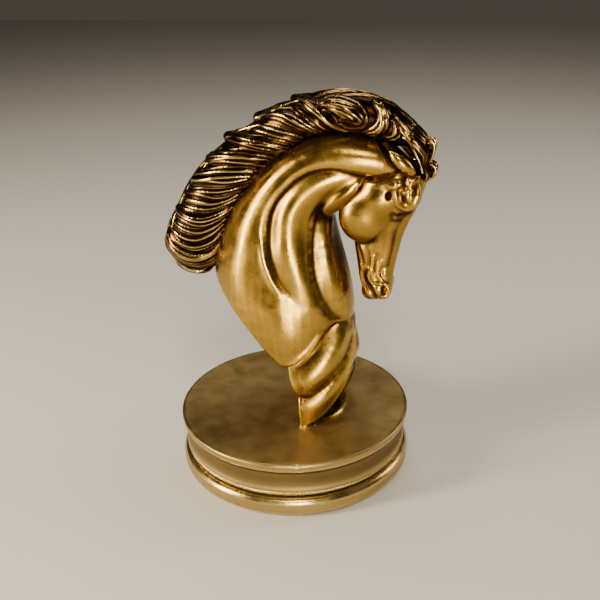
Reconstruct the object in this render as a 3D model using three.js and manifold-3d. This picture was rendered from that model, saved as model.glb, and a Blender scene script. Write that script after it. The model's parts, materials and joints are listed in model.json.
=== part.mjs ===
// A horse-head bonnet mascot on its round turned base.
// Millimetres, +Z up. The origin is the middle of the underside of the felt pad, where the piece stands.
// The horse faces +X, and its plane of symmetry is y = 0.
//
// From the table up: felt pad, flange, bead ring, drum, chest casting, neck, head, ears, mane and forelock.
// One long stud runs from a nut hidden above the felt up into the neck, and clamps all of them together.

import * as THREE from "three";
import { LoftGeometry } from "three/addons/geometries/LoftGeometry.js";
import { mergeVertices } from "three/addons/utils/BufferGeometryUtils.js";
import Module from "manifold-3d";

const wasm = await Module();
wasm.setup();

// ---- Driving dimensions -------------------------------------------------------------------------

const HORSE_TALL = 110; // the crest of the mane above the top of the base
const HORSE_WIDE = 38; // across the back of the chest, the widest part of the horse
const GAP = 0.3; // left between castings that are cut to fit each other

const BASE_DIAMETER = 81; // over the flange
const FELT_INSET = 4.5; // from the flange's edge to the edge of the felt
const FELT_THICK = 1.6;
const FELT_PROUD = 0.7; // how far the felt stands below the flange
const FLANGE_TALL = 6.7;
const FLANGE_ROUND = 2.4; // radius of the flange's outer edges
const DRUM_INSET = 0.3; // how far the drum's lip lies inside the flange
const GROOVE_TALL = 0.8; // the shadow line between flange and bead ring
const BEAD_RING_TALL = 1.4;
const BEAD_RING_INSET = 1.3; // how far the ring lies inside the flange
const DRUM_TALL = 11.4;
const DRUM_WAIST = 1.3; // how far the drum's wall draws in below its lip
const LIP_TALL = 3.4;
const LIP_ROUND = 0.9;
const FOOT_FILLET = 0.5; // where the drum's wall meets the bead ring
const SPIGOT_INSET = 6.5; // from the flange's edge to the boss that centres the ring and the drum
const SPIGOT_TALL = 3.6;

const STUD_DIAMETER = 5;
const STUD_REACH = 35; // into the horse, from the top of the base
const STUD_CLEARANCE = 0.3; // on the radius
const NUT_ACROSS_FLATS = 8;
const NUT_TALL = 2.7;
const SPRING_WASHER_THICK = 1.2;
const SPRING_WASHER_DIAMETER = 9;
const SPRING_WASHER_SPLIT = 1;
const WASHER_THICK = 1;
const WASHER_DIAMETER = 10;
const RECESS_CLEARANCE = 3; // room for a socket spanner round the nut
const STUD_TAIL = 0.6; // stud left showing under the nut

const PIN_DIAMETER = 3; // two pins that stop the horse turning on its base
const PIN_SPREAD = 24; // between the two pins
const PIN_IN_DRUM = 6;
const PIN_IN_CHEST = 6;
const DOWEL_DIAMETER = 2.5; // pins that hold the mane, head and forelock on
const DOWEL_CLEARANCE = 0.3; // on the radius
const MANE_DOWEL_LENGTH = 9;
const HEAD_DOWEL_LENGTH = 9;
const FORELOCK_DOWEL_LENGTH = 5;

const EYE_DIAMETER = 4.2;
const NOSTRIL_DIAMETER = 2.6;
const MOUTH_OPEN = 0.9;
const EAR_LENGTH = 11;
const EAR_DIAMETER = 5.4;

const ROUND_SIDES = 48; // sides of a full turned circle
const WASHER_SIDES = 32;
const SMALL_SIDES = 16;
const THROUGH = 1; // how far a cutter runs past the face that it opens

// ---- Places that follow from them ---------------------------------------------------------------

const baseRadius = BASE_DIAMETER / 2;
const flangeTop = FELT_PROUD + FLANGE_TALL;
const ringFloor = flangeTop + GROOVE_TALL;
const drumFloor = ringFloor + BEAD_RING_TALL;
const baseTop = drumFloor + DRUM_TALL;
const spigotRadius = baseRadius - SPIGOT_INSET;
const spigotTop = ringFloor + SPIGOT_TALL;
const feltRadius = baseRadius - FELT_INSET;
const nutFloor = FELT_THICK + STUD_TAIL;
const springWasherFloor = nutFloor + NUT_TALL;
const washerFloor = springWasherFloor + SPRING_WASHER_THICK;
const recessRoof = washerFloor + WASHER_THICK;
const nutRadius = NUT_ACROSS_FLATS / Math.sqrt(3);
const recessRadius = nutRadius + RECESS_CLEARANCE;
const studRadius = STUD_DIAMETER / 2;
const studHole = studRadius + STUD_CLEARANCE;
const pinHole = PIN_DIAMETER / 2 + DOWEL_CLEARANCE;

// The sculpture was laid out 110 tall and 38 wide, and these carry it to the size asked for.
const tall = HORSE_TALL / 110;
const wide = HORSE_WIDE / 38;
const studX = 10 * tall; // the stud and the pins stand under the middle of the chest's foot

// ---- Materials ----------------------------------------------------------------------------------

const metal = (color, roughness) =>
  new THREE.MeshStandardMaterial({ color, roughness, metalness: 1 });
const goldPaint = metal(0xb08d3a, 0.34);
const darkGold = metal(0x4a3216, 0.4);
const bronzeGold = metal(0x8a6d33, 0.42);
const zincSteel = metal(0x9a9ca0, 0.35);
const greenFelt = new THREE.MeshStandardMaterial({ color: 0x1e2a20, roughness: 1 });

// ---- Solids: a geometry becomes a manifold-3d solid to be joined or cut, and comes back ----------

function solid(geometry) {
  const bare = new THREE.BufferGeometry().copy(geometry);
  bare.deleteAttribute("normal");
  bare.deleteAttribute("uv");
  const merged = mergeVertices(bare, 1e-4);
  return new wasm.Manifold(
    new wasm.Mesh({
      numProp: 3,
      vertProperties: merged.attributes.position.array,
      triVerts: new Uint32Array(merged.index.array),
    }),
  );
}

function geometryOf(made) {
  const mesh = made.getMesh();
  const geometry = new THREE.BufferGeometry();
  geometry.setAttribute("position", new THREE.BufferAttribute(mesh.vertProperties, 3));
  geometry.setIndex(new THREE.BufferAttribute(mesh.triVerts, 1));
  geometry.computeVertexNormals();
  return geometry;
}

// ---- Shapes -------------------------------------------------------------------------------------

// A turned solid about the Z axis, from [radius, z] points that run up the outside.
function turned(profile, sides = ROUND_SIDES) {
  const points = profile.map(([r, z]) => new THREE.Vector2(r, z));
  return new THREE.LatheGeometry(points, sides).rotateX(Math.PI / 2);
}

// A round rod along Z, standing on z = floor at [x, y].
function rod(radius, floor, top, x = 0, y = 0, sides = SMALL_SIDES) {
  const geometry = new THREE.CylinderGeometry(radius, radius, top - floor, sides);
  return geometry.rotateX(Math.PI / 2).translate(x, y, (floor + top) / 2);
}

// A round rod in the horse's plane of symmetry, centred at [x, z], leaning by angle from +X to +Z.
function dowel(radius, length, x, z, angle) {
  const geometry = new THREE.CylinderGeometry(radius, radius, length, SMALL_SIDES);
  return geometry.rotateZ(-Math.PI / 2).rotateY(-angle).translate(x * tall, 0, z * tall);
}

function ellipsoid(x, y, z, rx, ry, rz, columns = 12, rows = 8) {
  const geometry = new THREE.SphereGeometry(1, columns, rows);
  return geometry.scale(rx, ry, rz).translate(x, y, z);
}

// A prism across the horse, from [x, z] corners in the plane of symmetry.
function acrossHorse(corners, width) {
  const shape = new THREE.Shape(corners.map(([x, z]) => new THREE.Vector2(x * tall, z * tall)));
  const geometry = new THREE.ExtrudeGeometry(shape, { depth: width, bevelEnabled: false });
  return geometry.rotateX(Math.PI / 2).translate(0, width / 2, 0);
}

// A value that runs smoothly through a column of the stations as t goes from 0 to 1.
function column(stations, index) {
  const points = stations.map((station) => new THREE.Vector3(station[index], 0, 0));
  const curve = new THREE.CatmullRomCurve3(points, false, "catmullrom", 0.5);
  return (t) => curve.getPoint(t).x;
}

// A form lofted between two outlines in the plane of symmetry. Each station is
// [outerX, outerZ, innerX, innerZ, halfWidth]: a point of each outline, and half the width along Y.
// trim(angle, t) scales a section, with angle 0 at its outer edge. Both ends are rounded.
function form(stations, { rings, sides, grow = 0, blunt = 0.5, trim = () => [1, 1] }) {
  const columns = [0, 1, 2, 3, 4].map((index) => column(stations, index));
  const [outerX, outerZ, innerX, innerZ, half] = columns;
  const outer = (t) => new THREE.Vector3(outerX(t) * tall, 0, outerZ(t) * tall);
  const inner = (t) => new THREE.Vector3(innerX(t) * tall, 0, innerZ(t) * tall);
  const middle = (t) => outer(t).add(inner(t)).divideScalar(2);
  const step = 0.01;
  const section = (t, share, ahead) => {
    const spoke = outer(t).sub(inner(t)).divideScalar(2);
    const radius = spoke.length();
    spoke.normalize();
    const heading = middle(Math.min(t + step, 1)).sub(middle(Math.max(t - step, 0)));
    heading.normalize();
    const sideways = new THREE.Vector3().crossVectors(heading, spoke).normalize();
    const centre = middle(t).addScaledVector(heading, ahead * (radius * blunt + grow));
    const points = [];
    for (let side = 0; side < sides; side++) {
      const angle = (side / sides) * 2 * Math.PI;
      const [deeper, wider] = trim(angle, t);
      const out = (radius * deeper + grow) * share * Math.cos(angle);
      const across = (half(t) * wide * wider + grow) * share * Math.sin(angle);
      points.push(centre.clone().addScaledVector(spoke, out).addScaledVector(sideways, across));
    }
    return points;
  };
  const capAngles = [0.2, 0.65, 1.15];
  const sections = [];
  for (const angle of capAngles) sections.push(section(0, Math.sin(angle), -Math.cos(angle)));
  for (let ring = 0; ring <= rings; ring++) sections.push(section(ring / rings, 1, 0));
  for (const angle of capAngles.toReversed()) sections.push(section(1, Math.sin(angle), Math.cos(angle)));
  return solid(new LoftGeometry(sections, { capStart: true, capEnd: true }));
}

// ---- Base ---------------------------------------------------------------------------------------

// Points of a quarter round, from one angle to the other, in degrees.
function round(r, z, radius, from, to, steps = 4) {
  const points = [];
  for (let step = 0; step <= steps; step++) {
    const angle = THREE.MathUtils.degToRad(from + ((to - from) * step) / steps);
    points.push([r + radius * Math.cos(angle), z + radius * Math.sin(angle)]);
  }
  return points;
}

function feltPad() {
  return turned([
    [0, 0],
    [feltRadius, 0],
    [feltRadius, FELT_THICK],
    [0, FELT_THICK],
  ]);
}

function flange() {
  const edge = baseRadius - FLANGE_ROUND;
  const body = solid(
    turned([
      [0, FELT_THICK],
      [feltRadius + GAP, FELT_THICK],
      [feltRadius + GAP, FELT_PROUD],
      ...round(edge, FELT_PROUD + FLANGE_ROUND, FLANGE_ROUND, -90, 0),
      ...round(edge, flangeTop - FLANGE_ROUND, FLANGE_ROUND, 0, 90),
      [baseRadius - 2 * BEAD_RING_INSET, flangeTop],
      [baseRadius - 2 * BEAD_RING_INSET, ringFloor],
      [spigotRadius, ringFloor],
      [spigotRadius, spigotTop],
      [0, spigotTop],
    ]),
  );
  return body
    .subtract(solid(rod(recessRadius, -THROUGH, recessRoof, studX)))
    .subtract(solid(rod(studHole, -THROUGH, spigotTop + THROUGH, studX)));
}

function beadRing() {
  const outer = baseRadius - BEAD_RING_INSET;
  const inner = spigotRadius + GAP;
  const bead = BEAD_RING_TALL / 2;
  return turned([
    [inner, ringFloor],
    ...round(outer - bead, ringFloor + bead, bead, -90, 90, 4),
    [inner, drumFloor],
    [inner, ringFloor],
  ]);
}

function drum() {
  const waist = baseRadius - DRUM_WAIST;
  const lip = baseRadius - DRUM_INSET;
  const lipFloor = baseTop - LIP_TALL;
  const body = solid(
    turned([
      [0, spigotTop + GAP],
      [spigotRadius + GAP, spigotTop + GAP],
      [spigotRadius + GAP, drumFloor],
      [waist, drumFloor],
      [waist, drumFloor + FOOT_FILLET],
      [waist - FOOT_FILLET / 2, (drumFloor + lipFloor) / 2],
      [waist, lipFloor],
      [lip - DRUM_INSET, lipFloor + LIP_TALL / 2],
      ...round(lip - LIP_ROUND, baseTop - LIP_ROUND, LIP_ROUND, 0, 90),
      [0, baseTop],
    ]),
  );
  const pinFloor = baseTop - PIN_IN_DRUM - GAP;
  return body
    .subtract(solid(rod(studHole, drumFloor, baseTop + THROUGH, studX)))
    .subtract(solid(rod(pinHole, pinFloor, baseTop + THROUGH, studX, PIN_SPREAD / 2)))
    .subtract(solid(rod(pinHole, pinFloor, baseTop + THROUGH, studX, -PIN_SPREAD / 2)));
}

// ---- Fixings ------------------------------------------------------------------------------------

function stud() {
  return rod(studRadius, FELT_THICK, baseTop + STUD_REACH, studX);
}

function nut() {
  const hexagon = rod(nutRadius, nutFloor, springWasherFloor, studX, 0, 6);
  const hole = rod(studHole, nutFloor - THROUGH, springWasherFloor + THROUGH, studX);
  return solid(hexagon).subtract(solid(hole));
}

function washer(diameter, floor, top) {
  const hole = rod(studHole, floor - THROUGH, top + THROUGH, studX);
  return solid(rod(diameter / 2, floor, top, studX, 0, WASHER_SIDES)).subtract(solid(hole));
}

const SPLIT_LEAN = 0.35; // radians
function springWasher() {
  const ring = washer(SPRING_WASHER_DIAMETER, springWasherFloor, washerFloor);
  const height = SPRING_WASHER_THICK * 4;
  const split = new THREE.BoxGeometry(SPRING_WASHER_DIAMETER, SPRING_WASHER_SPLIT, height);
  split.rotateX(SPLIT_LEAN).translate(studX + SPRING_WASHER_DIAMETER / 2, 0, springWasherFloor);
  return ring.subtract(solid(split));
}

// ---- Horse: everything below is measured from the top of the base, and stands on it ---------------

// The crest runs from the withers up over the poll, and the throat from the chest up behind the jaw.
const NECK = [
  [-9, 16, 12, 19, 17],
  [-19, 26, 18, 27, 18],
  [-26.5, 39, 21, 37, 17.5],
  [-27.5, 51, 20, 47, 16],
  [-24, 61, 18, 56, 14.5],
  [-19.5, 71, 16, 63, 13],
  [-13, 80, 14.5, 69, 12],
  [-5, 88, 15.5, 74, 11],
  [5, 94.5, 18.5, 77.5, 10.2],
  [15, 97.5, 22, 79, 9.5],
  [24, 97, 26.5, 81, 8.7],
  [32, 94.5, 31, 82.5, 7.5],
  [37, 90.5, 34.5, 83.5, 5.5],
];

// The jaw, and the line of the face from the poll down to the lips.
const HEAD = [
  [33, 89.5, 41, 88.8, 6.5],
  [26.5, 84, 42.2, 83.2, 8.2],
  [20.5, 78.5, 42.2, 78.7, 9],
  [17.5, 73, 41, 74.7, 8.6],
  [17, 67, 39, 70.2, 8],
  [18.5, 61, 37, 65.7, 6.8],
  [20.5, 55.5, 36, 60.2, 5.8],
  [22.3, 50, 35, 54.2, 5],
  [23.3, 45, 34, 48.7, 4.9],
  [25, 41.7, 32.5, 44.2, 4.2],
];

// The outer edge of the mane from behind the ears to its curled end, and its root along the crest.
const MANE = [
  [41, 100, 36.5, 93, 4.5],
  [36, 104.5, 32.5, 93.5, 6],
  [30, 108, 27, 95, 6.8],
  [22, 110, 20.5, 96, 7.2],
  [13, 110, 14, 96, 7.4],
  [4, 107.5, 7.5, 93.5, 7.4],
  [-5, 103, 0.5, 89, 7.4],
  [-14.5, 97.5, -5, 84, 7.4],
  [-24, 91, -10.5, 77.5, 7.4],
  [-32, 82.5, -15, 71, 7.4],
  [-37.5, 73.5, -18, 65, 7.2],
  [-42, 65.5, -20.5, 59.5, 7],
  [-44.5, 57.5, -23, 54, 6.4],
  [-42, 51.8, -27, 49.7, 5],
];

// The lock that falls between the ears and curls up on the brow.
const FORELOCK = [
  [39.5, 101.5, 37, 94.5, 5],
  [44, 97.5, 39.5, 91.5, 6],
  [47, 91.5, 41.5, 88, 5.8],
  [47.3, 85.5, 42.5, 84, 5.2],
  [45.3, 81.5, 43, 81, 3.6],
];

// Three rounded muscle bands down each side of the neck.
function muscleBands(angle) {
  const swell = 0.035 * Math.cos(6 * angle);
  return [1, 1 + swell];
}

// Locks of hair: the section swells and shrinks from ring to ring, and is thinner towards its outer edge.
const MANE_RINGS = 40;
function locks(angle, t) {
  const ridge = Math.round(t * MANE_RINGS) % 2 ? 0.03 : -0.03;
  const taper = 1 - 0.3 * Math.cos(angle);
  return [1 + ridge * Math.max(0, Math.cos(angle)), taper + ridge * 2];
}

const neckForm = (grow = 0) => form(NECK, { grow, rings: 18, sides: 24, trim: muscleBands });
const headForm = (grow = 0) => form(HEAD, { grow, rings: 12, sides: 16 });
const maneForm = (grow = 0) => form(MANE, { grow, rings: MANE_RINGS, sides: 12, trim: locks });
const forelockForm = () => form(FORELOCK, { rings: 8, sides: 12 });

// Two flat faces close the neck below. One runs from under the withers down to the point of the
// shoulder, in the open. The other climbs from there to the throat, and sits on the chest casting.
const POINT_OF_SHOULDER = [0.3, 22.2];
const OPEN_SLOPE = -1.04;
const SEATED_SLOPE = 1;
function underside(grow) {
  const [x, z] = POINT_OF_SHOULDER;
  const far = 50;
  const lowered = z - (grow * Math.SQRT2) / tall;
  const corners = [
    [x - far, lowered - OPEN_SLOPE * far],
    [x, lowered],
    [x + far, lowered + SEATED_SLOPE * far],
    [x + far, -far],
    [x - far, -far],
  ];
  return solid(acrossHorse(corners.toReversed(), HORSE_WIDE * 2));
}

const neckBody = (grow = 0) => neckForm(grow).subtract(underside(grow));

// The chest casting: a broad prow that stands on the base, with two folds of skin sweeping round it.
// Each row is [z, back, front, half width].
const CHEST = [
  [0, 6, 18, 18.6],
  [3, 6, 18.4, 18.4],
  [9, 5.5, 20.6, 18],
  [14, 4.2, 22.2, 17.2],
  [20, 2.5, 23.2, 16.2],
  [27, 1, 22.8, 14.6],
  [34, 1, 21.6, 11.5],
  [40, 3, 20.4, 7],
];
const FOLD_HEIGHT = 0.7;
const FOLD_SPACING = 11;
const FOLD_RISE = 0.75; // how steeply the folds climb towards the front

function chestForm() {
  const [z, back, front, half] = [0, 1, 2, 3].map((index) => column(CHEST, index));
  const rings = 16;
  const sides = 24;
  const sections = [];
  for (let ring = 0; ring <= rings; ring++) {
    const t = ring / rings;
    const points = [];
    for (let side = 0; side < sides; side++) {
      const angle = (side / sides) * 2 * Math.PI;
      const ahead = Math.cos(angle);
      const reach = ahead > 0 ? (front(t) - back(t)) * ahead ** 0.85 : 2 * ahead;
      const slant = z(t) - FOLD_RISE * Math.max(0, reach);
      const phase = (2 * Math.PI * slant) / FOLD_SPACING;
      const fade = Math.min(1, z(t) / 6);
      const fold = 1 + (FOLD_HEIGHT / 20) * Math.cos(phase) * fade;
      const x = (back(t) + Math.max(0, reach) * fold + Math.min(0, reach)) * tall;
      const y = half(t) * wide * Math.sin(angle) * fold;
      points.push(new THREE.Vector3(x, y, z(t) * tall));
    }
    sections.push(points);
  }
  return solid(new LoftGeometry(sections, { capStart: true, capEnd: true }));
}

// Where the dowels cross their seams: [x, z, lean in degrees].
const MANE_DOWELS = [
  [14.5, 96.5, 95],
  [-8, 85.5, 130],
  [-21, 64, 165],
];
const HEAD_DOWEL = [35, 84, -35];
const FORELOCK_DOWEL = [40.3, 88.6, 45];

function dowelSolid([x, z, lean], length, clearance = 0) {
  const angle = THREE.MathUtils.degToRad(lean);
  const radius = DOWEL_DIAMETER / 2 + clearance;
  return solid(dowel(radius, length + 2 * clearance, x, z, angle));
}

const dowelHoles = [
  ...MANE_DOWELS.map((place) => dowelSolid(place, MANE_DOWEL_LENGTH, DOWEL_CLEARANCE)),
  dowelSolid(HEAD_DOWEL, HEAD_DOWEL_LENGTH, DOWEL_CLEARANCE),
  dowelSolid(FORELOCK_DOWEL, FORELOCK_DOWEL_LENGTH, DOWEL_CLEARANCE),
];
const drilled = (made) => dowelHoles.reduce((left, hole) => left.subtract(hole), made);

function studInHorse() {
  return solid(rod(studHole, -THROUGH, STUD_REACH + GAP, studX));
}

// An ear laid back along the neck: a leaf that stands on its root, with a hollow on its outer side.
const EAR_ROOT = [38.8, 87.6, 7.6];
const EAR_LEAN = 137; // degrees from +X towards +Z
function laidBack(geometry, side) {
  const [x, z, y] = EAR_ROOT;
  return geometry
    .scale(1, 1, 0.7)
    .rotateX(-side * Math.PI)
    .rotateZ(Math.PI)
    .rotateX(Math.PI / 2 + side * 0.16)
    .rotateY(THREE.MathUtils.degToRad(90 - EAR_LEAN))
    .translate(x * tall, side * y * wide, z * tall);
}

function earLeaf(grow = 0) {
  const radius = EAR_DIAMETER / 2 + grow;
  const length = EAR_LENGTH + 2 * grow;
  const outline = [];
  for (let step = 0; step <= 8; step++) {
    const t = step / 8;
    const swell = step % 8 ? Math.sin(Math.PI * t ** 0.7) : 0;
    outline.push(new THREE.Vector2(radius * swell, length * t - grow));
  }
  return new THREE.LatheGeometry(outline, 12);
}

function ear(side) {
  const scoop = earLeaf().scale(0.6, 0.8, 0.6).translate(0, EAR_LENGTH * 0.1, EAR_DIAMETER * 0.4);
  return solid(laidBack(earLeaf(), side)).subtract(solid(laidBack(scoop, side)));
}

const earSeats = [-1, 1].map((side) => solid(laidBack(earLeaf(GAP), side)));
const seated = (made) => earSeats.reduce((left, seat) => left.subtract(seat), made);

function neck() {
  return seated(drilled(neckBody().subtract(studInHorse())));
}

function chest() {
  const holes = [-1, 1].map((side) =>
    solid(rod(pinHole, -THROUGH, PIN_IN_CHEST + GAP, studX, (side * PIN_SPREAD) / 2)),
  );
  return holes
    .reduce((left, hole) => left.subtract(hole), chestForm())
    .subtract(neckBody(GAP))
    .subtract(studInHorse());
}

// Places on the head: [x, z, distance from the plane of symmetry].
const CHEEK = [26.5, 69.5, 4.4];
const BROW = [37.5, 78.5, 6.2];
const EYE = [38, 78.8, 7.6];
const NOSTRIL = [32, 46.5, 3.4];

function head() {
  const nostril = NOSTRIL_DIAMETER / 2;
  const eye = EYE_DIAMETER / 2;
  let made = headForm();
  for (const side of [-1, 1]) {
    const at = ([x, z, y], outward = 0) => [x * tall, side * (y * wide + outward), z * tall];
    const sized = (x, y, z) => [x * tall, y * wide, z * tall];
    made = made
      .add(solid(ellipsoid(...at(CHEEK), ...sized(8.5, 5, 9.5), 16, 10)))
      .add(solid(ellipsoid(...at(BROW), ...sized(3.8, 3, 3.4))))
      .add(solid(ellipsoid(...at(EYE), eye, eye, eye)))
      .add(solid(ellipsoid(...at(NOSTRIL), ...sized(2.4, 2, 2.8))))
      .subtract(solid(ellipsoid(...at(NOSTRIL, 2 * wide), nostril, nostril, nostril, 8, 6)));
  }
  const lips = new THREE.BoxGeometry(MOUTH_OPEN, 14 * wide, 9 * tall);
  lips.rotateY(-0.5).translate(27.8 * tall, 0, 41.5 * tall);
  return seated(drilled(made.subtract(solid(lips)).subtract(neckForm(GAP))));
}

function mane() {
  return seated(drilled(maneForm().subtract(neckForm(GAP)).subtract(headForm(GAP))));
}

function forelock() {
  const fitted = forelockForm().subtract(maneForm(GAP)).subtract(headForm(GAP));
  return seated(drilled(fitted.subtract(neckForm(GAP))));
}

// ---- Assembly -----------------------------------------------------------------------------------

const mascot = new THREE.Group();
const horse = new THREE.Group();
horse.position.z = baseTop;
mascot.add(horse);

function place(group, name, shape, material) {
  const geometry = shape.isBufferGeometry ? shape : geometryOf(shape);
  const mesh = new THREE.Mesh(geometry, material);
  mesh.name = name;
  group.add(mesh);
}

place(mascot, "felt_pad", feltPad(), greenFelt);
place(mascot, "base_flange", flange(), bronzeGold);
place(mascot, "bead_ring", beadRing(), bronzeGold);
place(mascot, "base_drum", drum(), bronzeGold);
place(mascot, "mounting_stud", stud(), zincSteel);
place(mascot, "hex_nut", nut(), zincSteel);
place(mascot, "spring_washer", springWasher(), zincSteel);
place(mascot, "plain_washer", washer(WASHER_DIAMETER, washerFloor, recessRoof), zincSteel);
for (const [name, side] of [["locating_pin_right", -1], ["locating_pin_left", 1]]) {
  const y = (side * PIN_SPREAD) / 2;
  const pin = rod(PIN_DIAMETER / 2, baseTop - PIN_IN_DRUM, baseTop + PIN_IN_CHEST, studX, y);
  place(mascot, name, pin, zincSteel);
}

place(horse, "chest_casting", chest(), goldPaint);
place(horse, "neck_casting", neck(), goldPaint);

place(horse, "head_casting", head(), goldPaint);
for (const [name, side] of [["ear_right", -1], ["ear_left", 1]]) {
  place(horse, name, ear(side), goldPaint);
}
place(horse, "crest_mane", mane(), darkGold);
place(horse, "forelock", forelock(), darkGold);
MANE_DOWELS.forEach((spot, index) => {
  place(horse, "mane_dowel_" + (index + 1), dowelSolid(spot, MANE_DOWEL_LENGTH), zincSteel);
});
place(horse, "head_dowel", dowelSolid(HEAD_DOWEL, HEAD_DOWEL_LENGTH), zincSteel);
place(horse, "forelock_dowel", dowelSolid(FORELOCK_DOWEL, FORELOCK_DOWEL_LENGTH), zincSteel);

export default mascot;
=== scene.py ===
# %% [markdown]
# # A horse-head bonnet mascot
#
# The real object is a small sculpture in antiqued brass: an arched neck, a head tucked against it, a dark
# mane rubbed back to gold on its locks, and a round moulded base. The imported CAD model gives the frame:
# where every piece is and how large it may be. This file gives every piece its sculpted surface and finish.
#
# A sculpture like this could be modelled by pushing mesh vertices about by hand. Here it is modelled the
# way a sculptor works in clay: a block is laid up from rolls, then pressed, raised and creased with
# strokes. The clay is a grid of distances (a signed distance field), so rolls melt into each other where
# they touch.

# %% Load the fixed frame
import json
import math

import bmesh
import bpy
import numpy as np
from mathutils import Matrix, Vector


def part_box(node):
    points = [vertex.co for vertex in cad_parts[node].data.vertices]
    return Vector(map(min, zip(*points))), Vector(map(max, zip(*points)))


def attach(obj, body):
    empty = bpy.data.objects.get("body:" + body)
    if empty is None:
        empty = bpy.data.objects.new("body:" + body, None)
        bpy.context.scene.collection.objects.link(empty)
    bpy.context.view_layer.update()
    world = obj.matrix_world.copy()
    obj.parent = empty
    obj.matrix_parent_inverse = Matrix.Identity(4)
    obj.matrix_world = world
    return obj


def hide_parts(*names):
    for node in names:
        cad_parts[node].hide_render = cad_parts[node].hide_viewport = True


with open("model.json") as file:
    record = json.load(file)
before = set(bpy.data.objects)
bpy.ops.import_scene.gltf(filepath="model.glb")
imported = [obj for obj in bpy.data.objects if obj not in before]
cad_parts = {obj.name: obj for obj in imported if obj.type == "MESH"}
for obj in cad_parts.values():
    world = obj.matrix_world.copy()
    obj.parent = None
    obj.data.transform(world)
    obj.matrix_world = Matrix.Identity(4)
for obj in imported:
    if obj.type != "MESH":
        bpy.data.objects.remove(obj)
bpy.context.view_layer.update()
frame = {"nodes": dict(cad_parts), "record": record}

import openvdb
from mathutils import Matrix, Vector

MM = 0.001
BASE_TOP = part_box("base_drum")[1].z / MM
CREST_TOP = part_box("crest_mane")[1].z / MM
print("base top", round(BASE_TOP, 2), "mm, crest", round(CREST_TOP, 2), "mm")

# %% [markdown]
# ## Camera, floor and light
#
# The camera looks down at about 25 degrees from a little ahead of the horse's right side. The floor is a
# plain pale sheet. Brass could be lit by a picture of a room all round it, but a few soft panels are easier
# to place: each shows in the metal as one highlight. A tall narrow panel on the left draws a long highlight
# down each muscle, two small ones in front reach the head and the foot, a wide one hangs overhead and a
# weak one on the right draws the rim. Metal shows what surrounds it, so the surround is dim and warm.

# %% Camera
VIEW_AZIMUTH = math.radians(14)
VIEW_ELEVATION = math.radians(24.53)
VIEW_ROLL = math.radians(-1.54)
VIEW_DISTANCE = 272.1
VIEW_TARGET = Vector((2.81, 0.70, 59.9))
LENS = 48
SENSOR = 36

ahead = Vector((
    -math.sin(VIEW_AZIMUTH) * math.cos(VIEW_ELEVATION),
    math.cos(VIEW_AZIMUTH) * math.cos(VIEW_ELEVATION),
    -math.sin(VIEW_ELEVATION),
))
level = Vector((math.cos(VIEW_AZIMUTH), math.sin(VIEW_AZIMUTH), 0))
upward = level.cross(ahead)
right = math.cos(VIEW_ROLL) * level + math.sin(VIEW_ROLL) * upward
upward = right.cross(ahead)
turn = Matrix((right, upward, -ahead)).transposed()
camera_data = bpy.data.cameras.new("camera")
camera_data.lens = LENS
camera_data.sensor_width = SENSOR
camera_data.clip_start = 0.01
camera = bpy.data.objects.new("camera", camera_data)
camera.matrix_world = Matrix.Translation((VIEW_TARGET - VIEW_DISTANCE * ahead) * MM) @ turn.to_4x4()
bpy.context.scene.collection.objects.link(camera)
bpy.context.scene.camera = camera
print("camera at", tuple(round(v, 4) for v in camera.location))

# %% Floor and lights
FLOOR_HALF = 1.6
FLOOR_COLOUR = (0.62, 0.60, 0.57)
HEART = (0, 0, 0.065)
SURROUND = (0.5, 0.42, 0.34, 1)
SURROUND_STRENGTH = 0.14


def plain_material(name, colour, roughness):
    """One colour and one roughness, as a start for the finishes below."""
    material = bpy.data.materials.new(name)
    material.use_nodes = True
    shader = material.node_tree.nodes["Principled BSDF"]
    shader.inputs["Base Color"].default_value = (*colour, 1)
    shader.inputs["Roughness"].default_value = roughness
    return material


def panel(name, place, width, height, watts, colour):
    """A soft rectangular light at a place, turned towards the horse."""
    data = bpy.data.lights.new(name, "AREA")
    data.shape = "RECTANGLE"
    data.size = width
    data.size_y = height
    data.energy = watts
    data.color = colour
    light = bpy.data.objects.new(name, data)
    light.location = place
    light.rotation_euler = (Vector(HEART) - Vector(place)).to_track_quat("-Z", "Y").to_euler()
    bpy.context.scene.collection.objects.link(light)


floor_mesh = bpy.data.meshes.new("floor")
corners = [(-FLOOR_HALF, -FLOOR_HALF, 0), (FLOOR_HALF, -FLOOR_HALF, 0),
           (FLOOR_HALF, FLOOR_HALF, 0), (-FLOOR_HALF, FLOOR_HALF, 0)]
floor_mesh.from_pydata(corners, [], [(0, 1, 2, 3)])
floor = bpy.data.objects.new("floor", floor_mesh)
floor_mesh.materials.append(plain_material("pale floor", FLOOR_COLOUR, 0.8))
bpy.context.scene.collection.objects.link(floor)

panel("key left", (-0.46, -0.3, 0.2), 0.1, 0.36, 6.4, (1.0, 0.87, 0.66))
panel("front low", (0.12, -0.4, 0.09), 0.06, 0.15, 1.6, (1.0, 0.9, 0.7))
panel("front high", (0.12, -0.5, 0.6), 0.16, 0.12, 2.0, (1.0, 0.88, 0.7))
panel("overhead", (0.0, 0.25, 0.8), 0.5, 0.3, 2.6, (1.0, 0.93, 0.82))
panel("right rim", (0.5, 0.25, 0.25), 0.12, 0.3, 1.2, (1.0, 0.88, 0.7))

world = bpy.data.worlds.new("studio")
world.use_nodes = True
surround = world.node_tree.nodes["Background"]
surround.inputs["Color"].default_value = SURROUND
surround.inputs["Strength"].default_value = SURROUND_STRENGTH
bpy.context.scene.world = world
print("floor, five panels and a dim surround")

# %% [markdown]
# ## Modelling clay
#
# A cast muscle has no edges to model by, so each form is a smooth path with a few points: a roll, a swell
# or a crease follows it. Blender's curve objects could hold such paths, but they'd have to be turned into
# meshes and joined; here a path is a plain list that every tool below can follow.

# %% Paths
STEPS_PER_SPAN = 5


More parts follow.
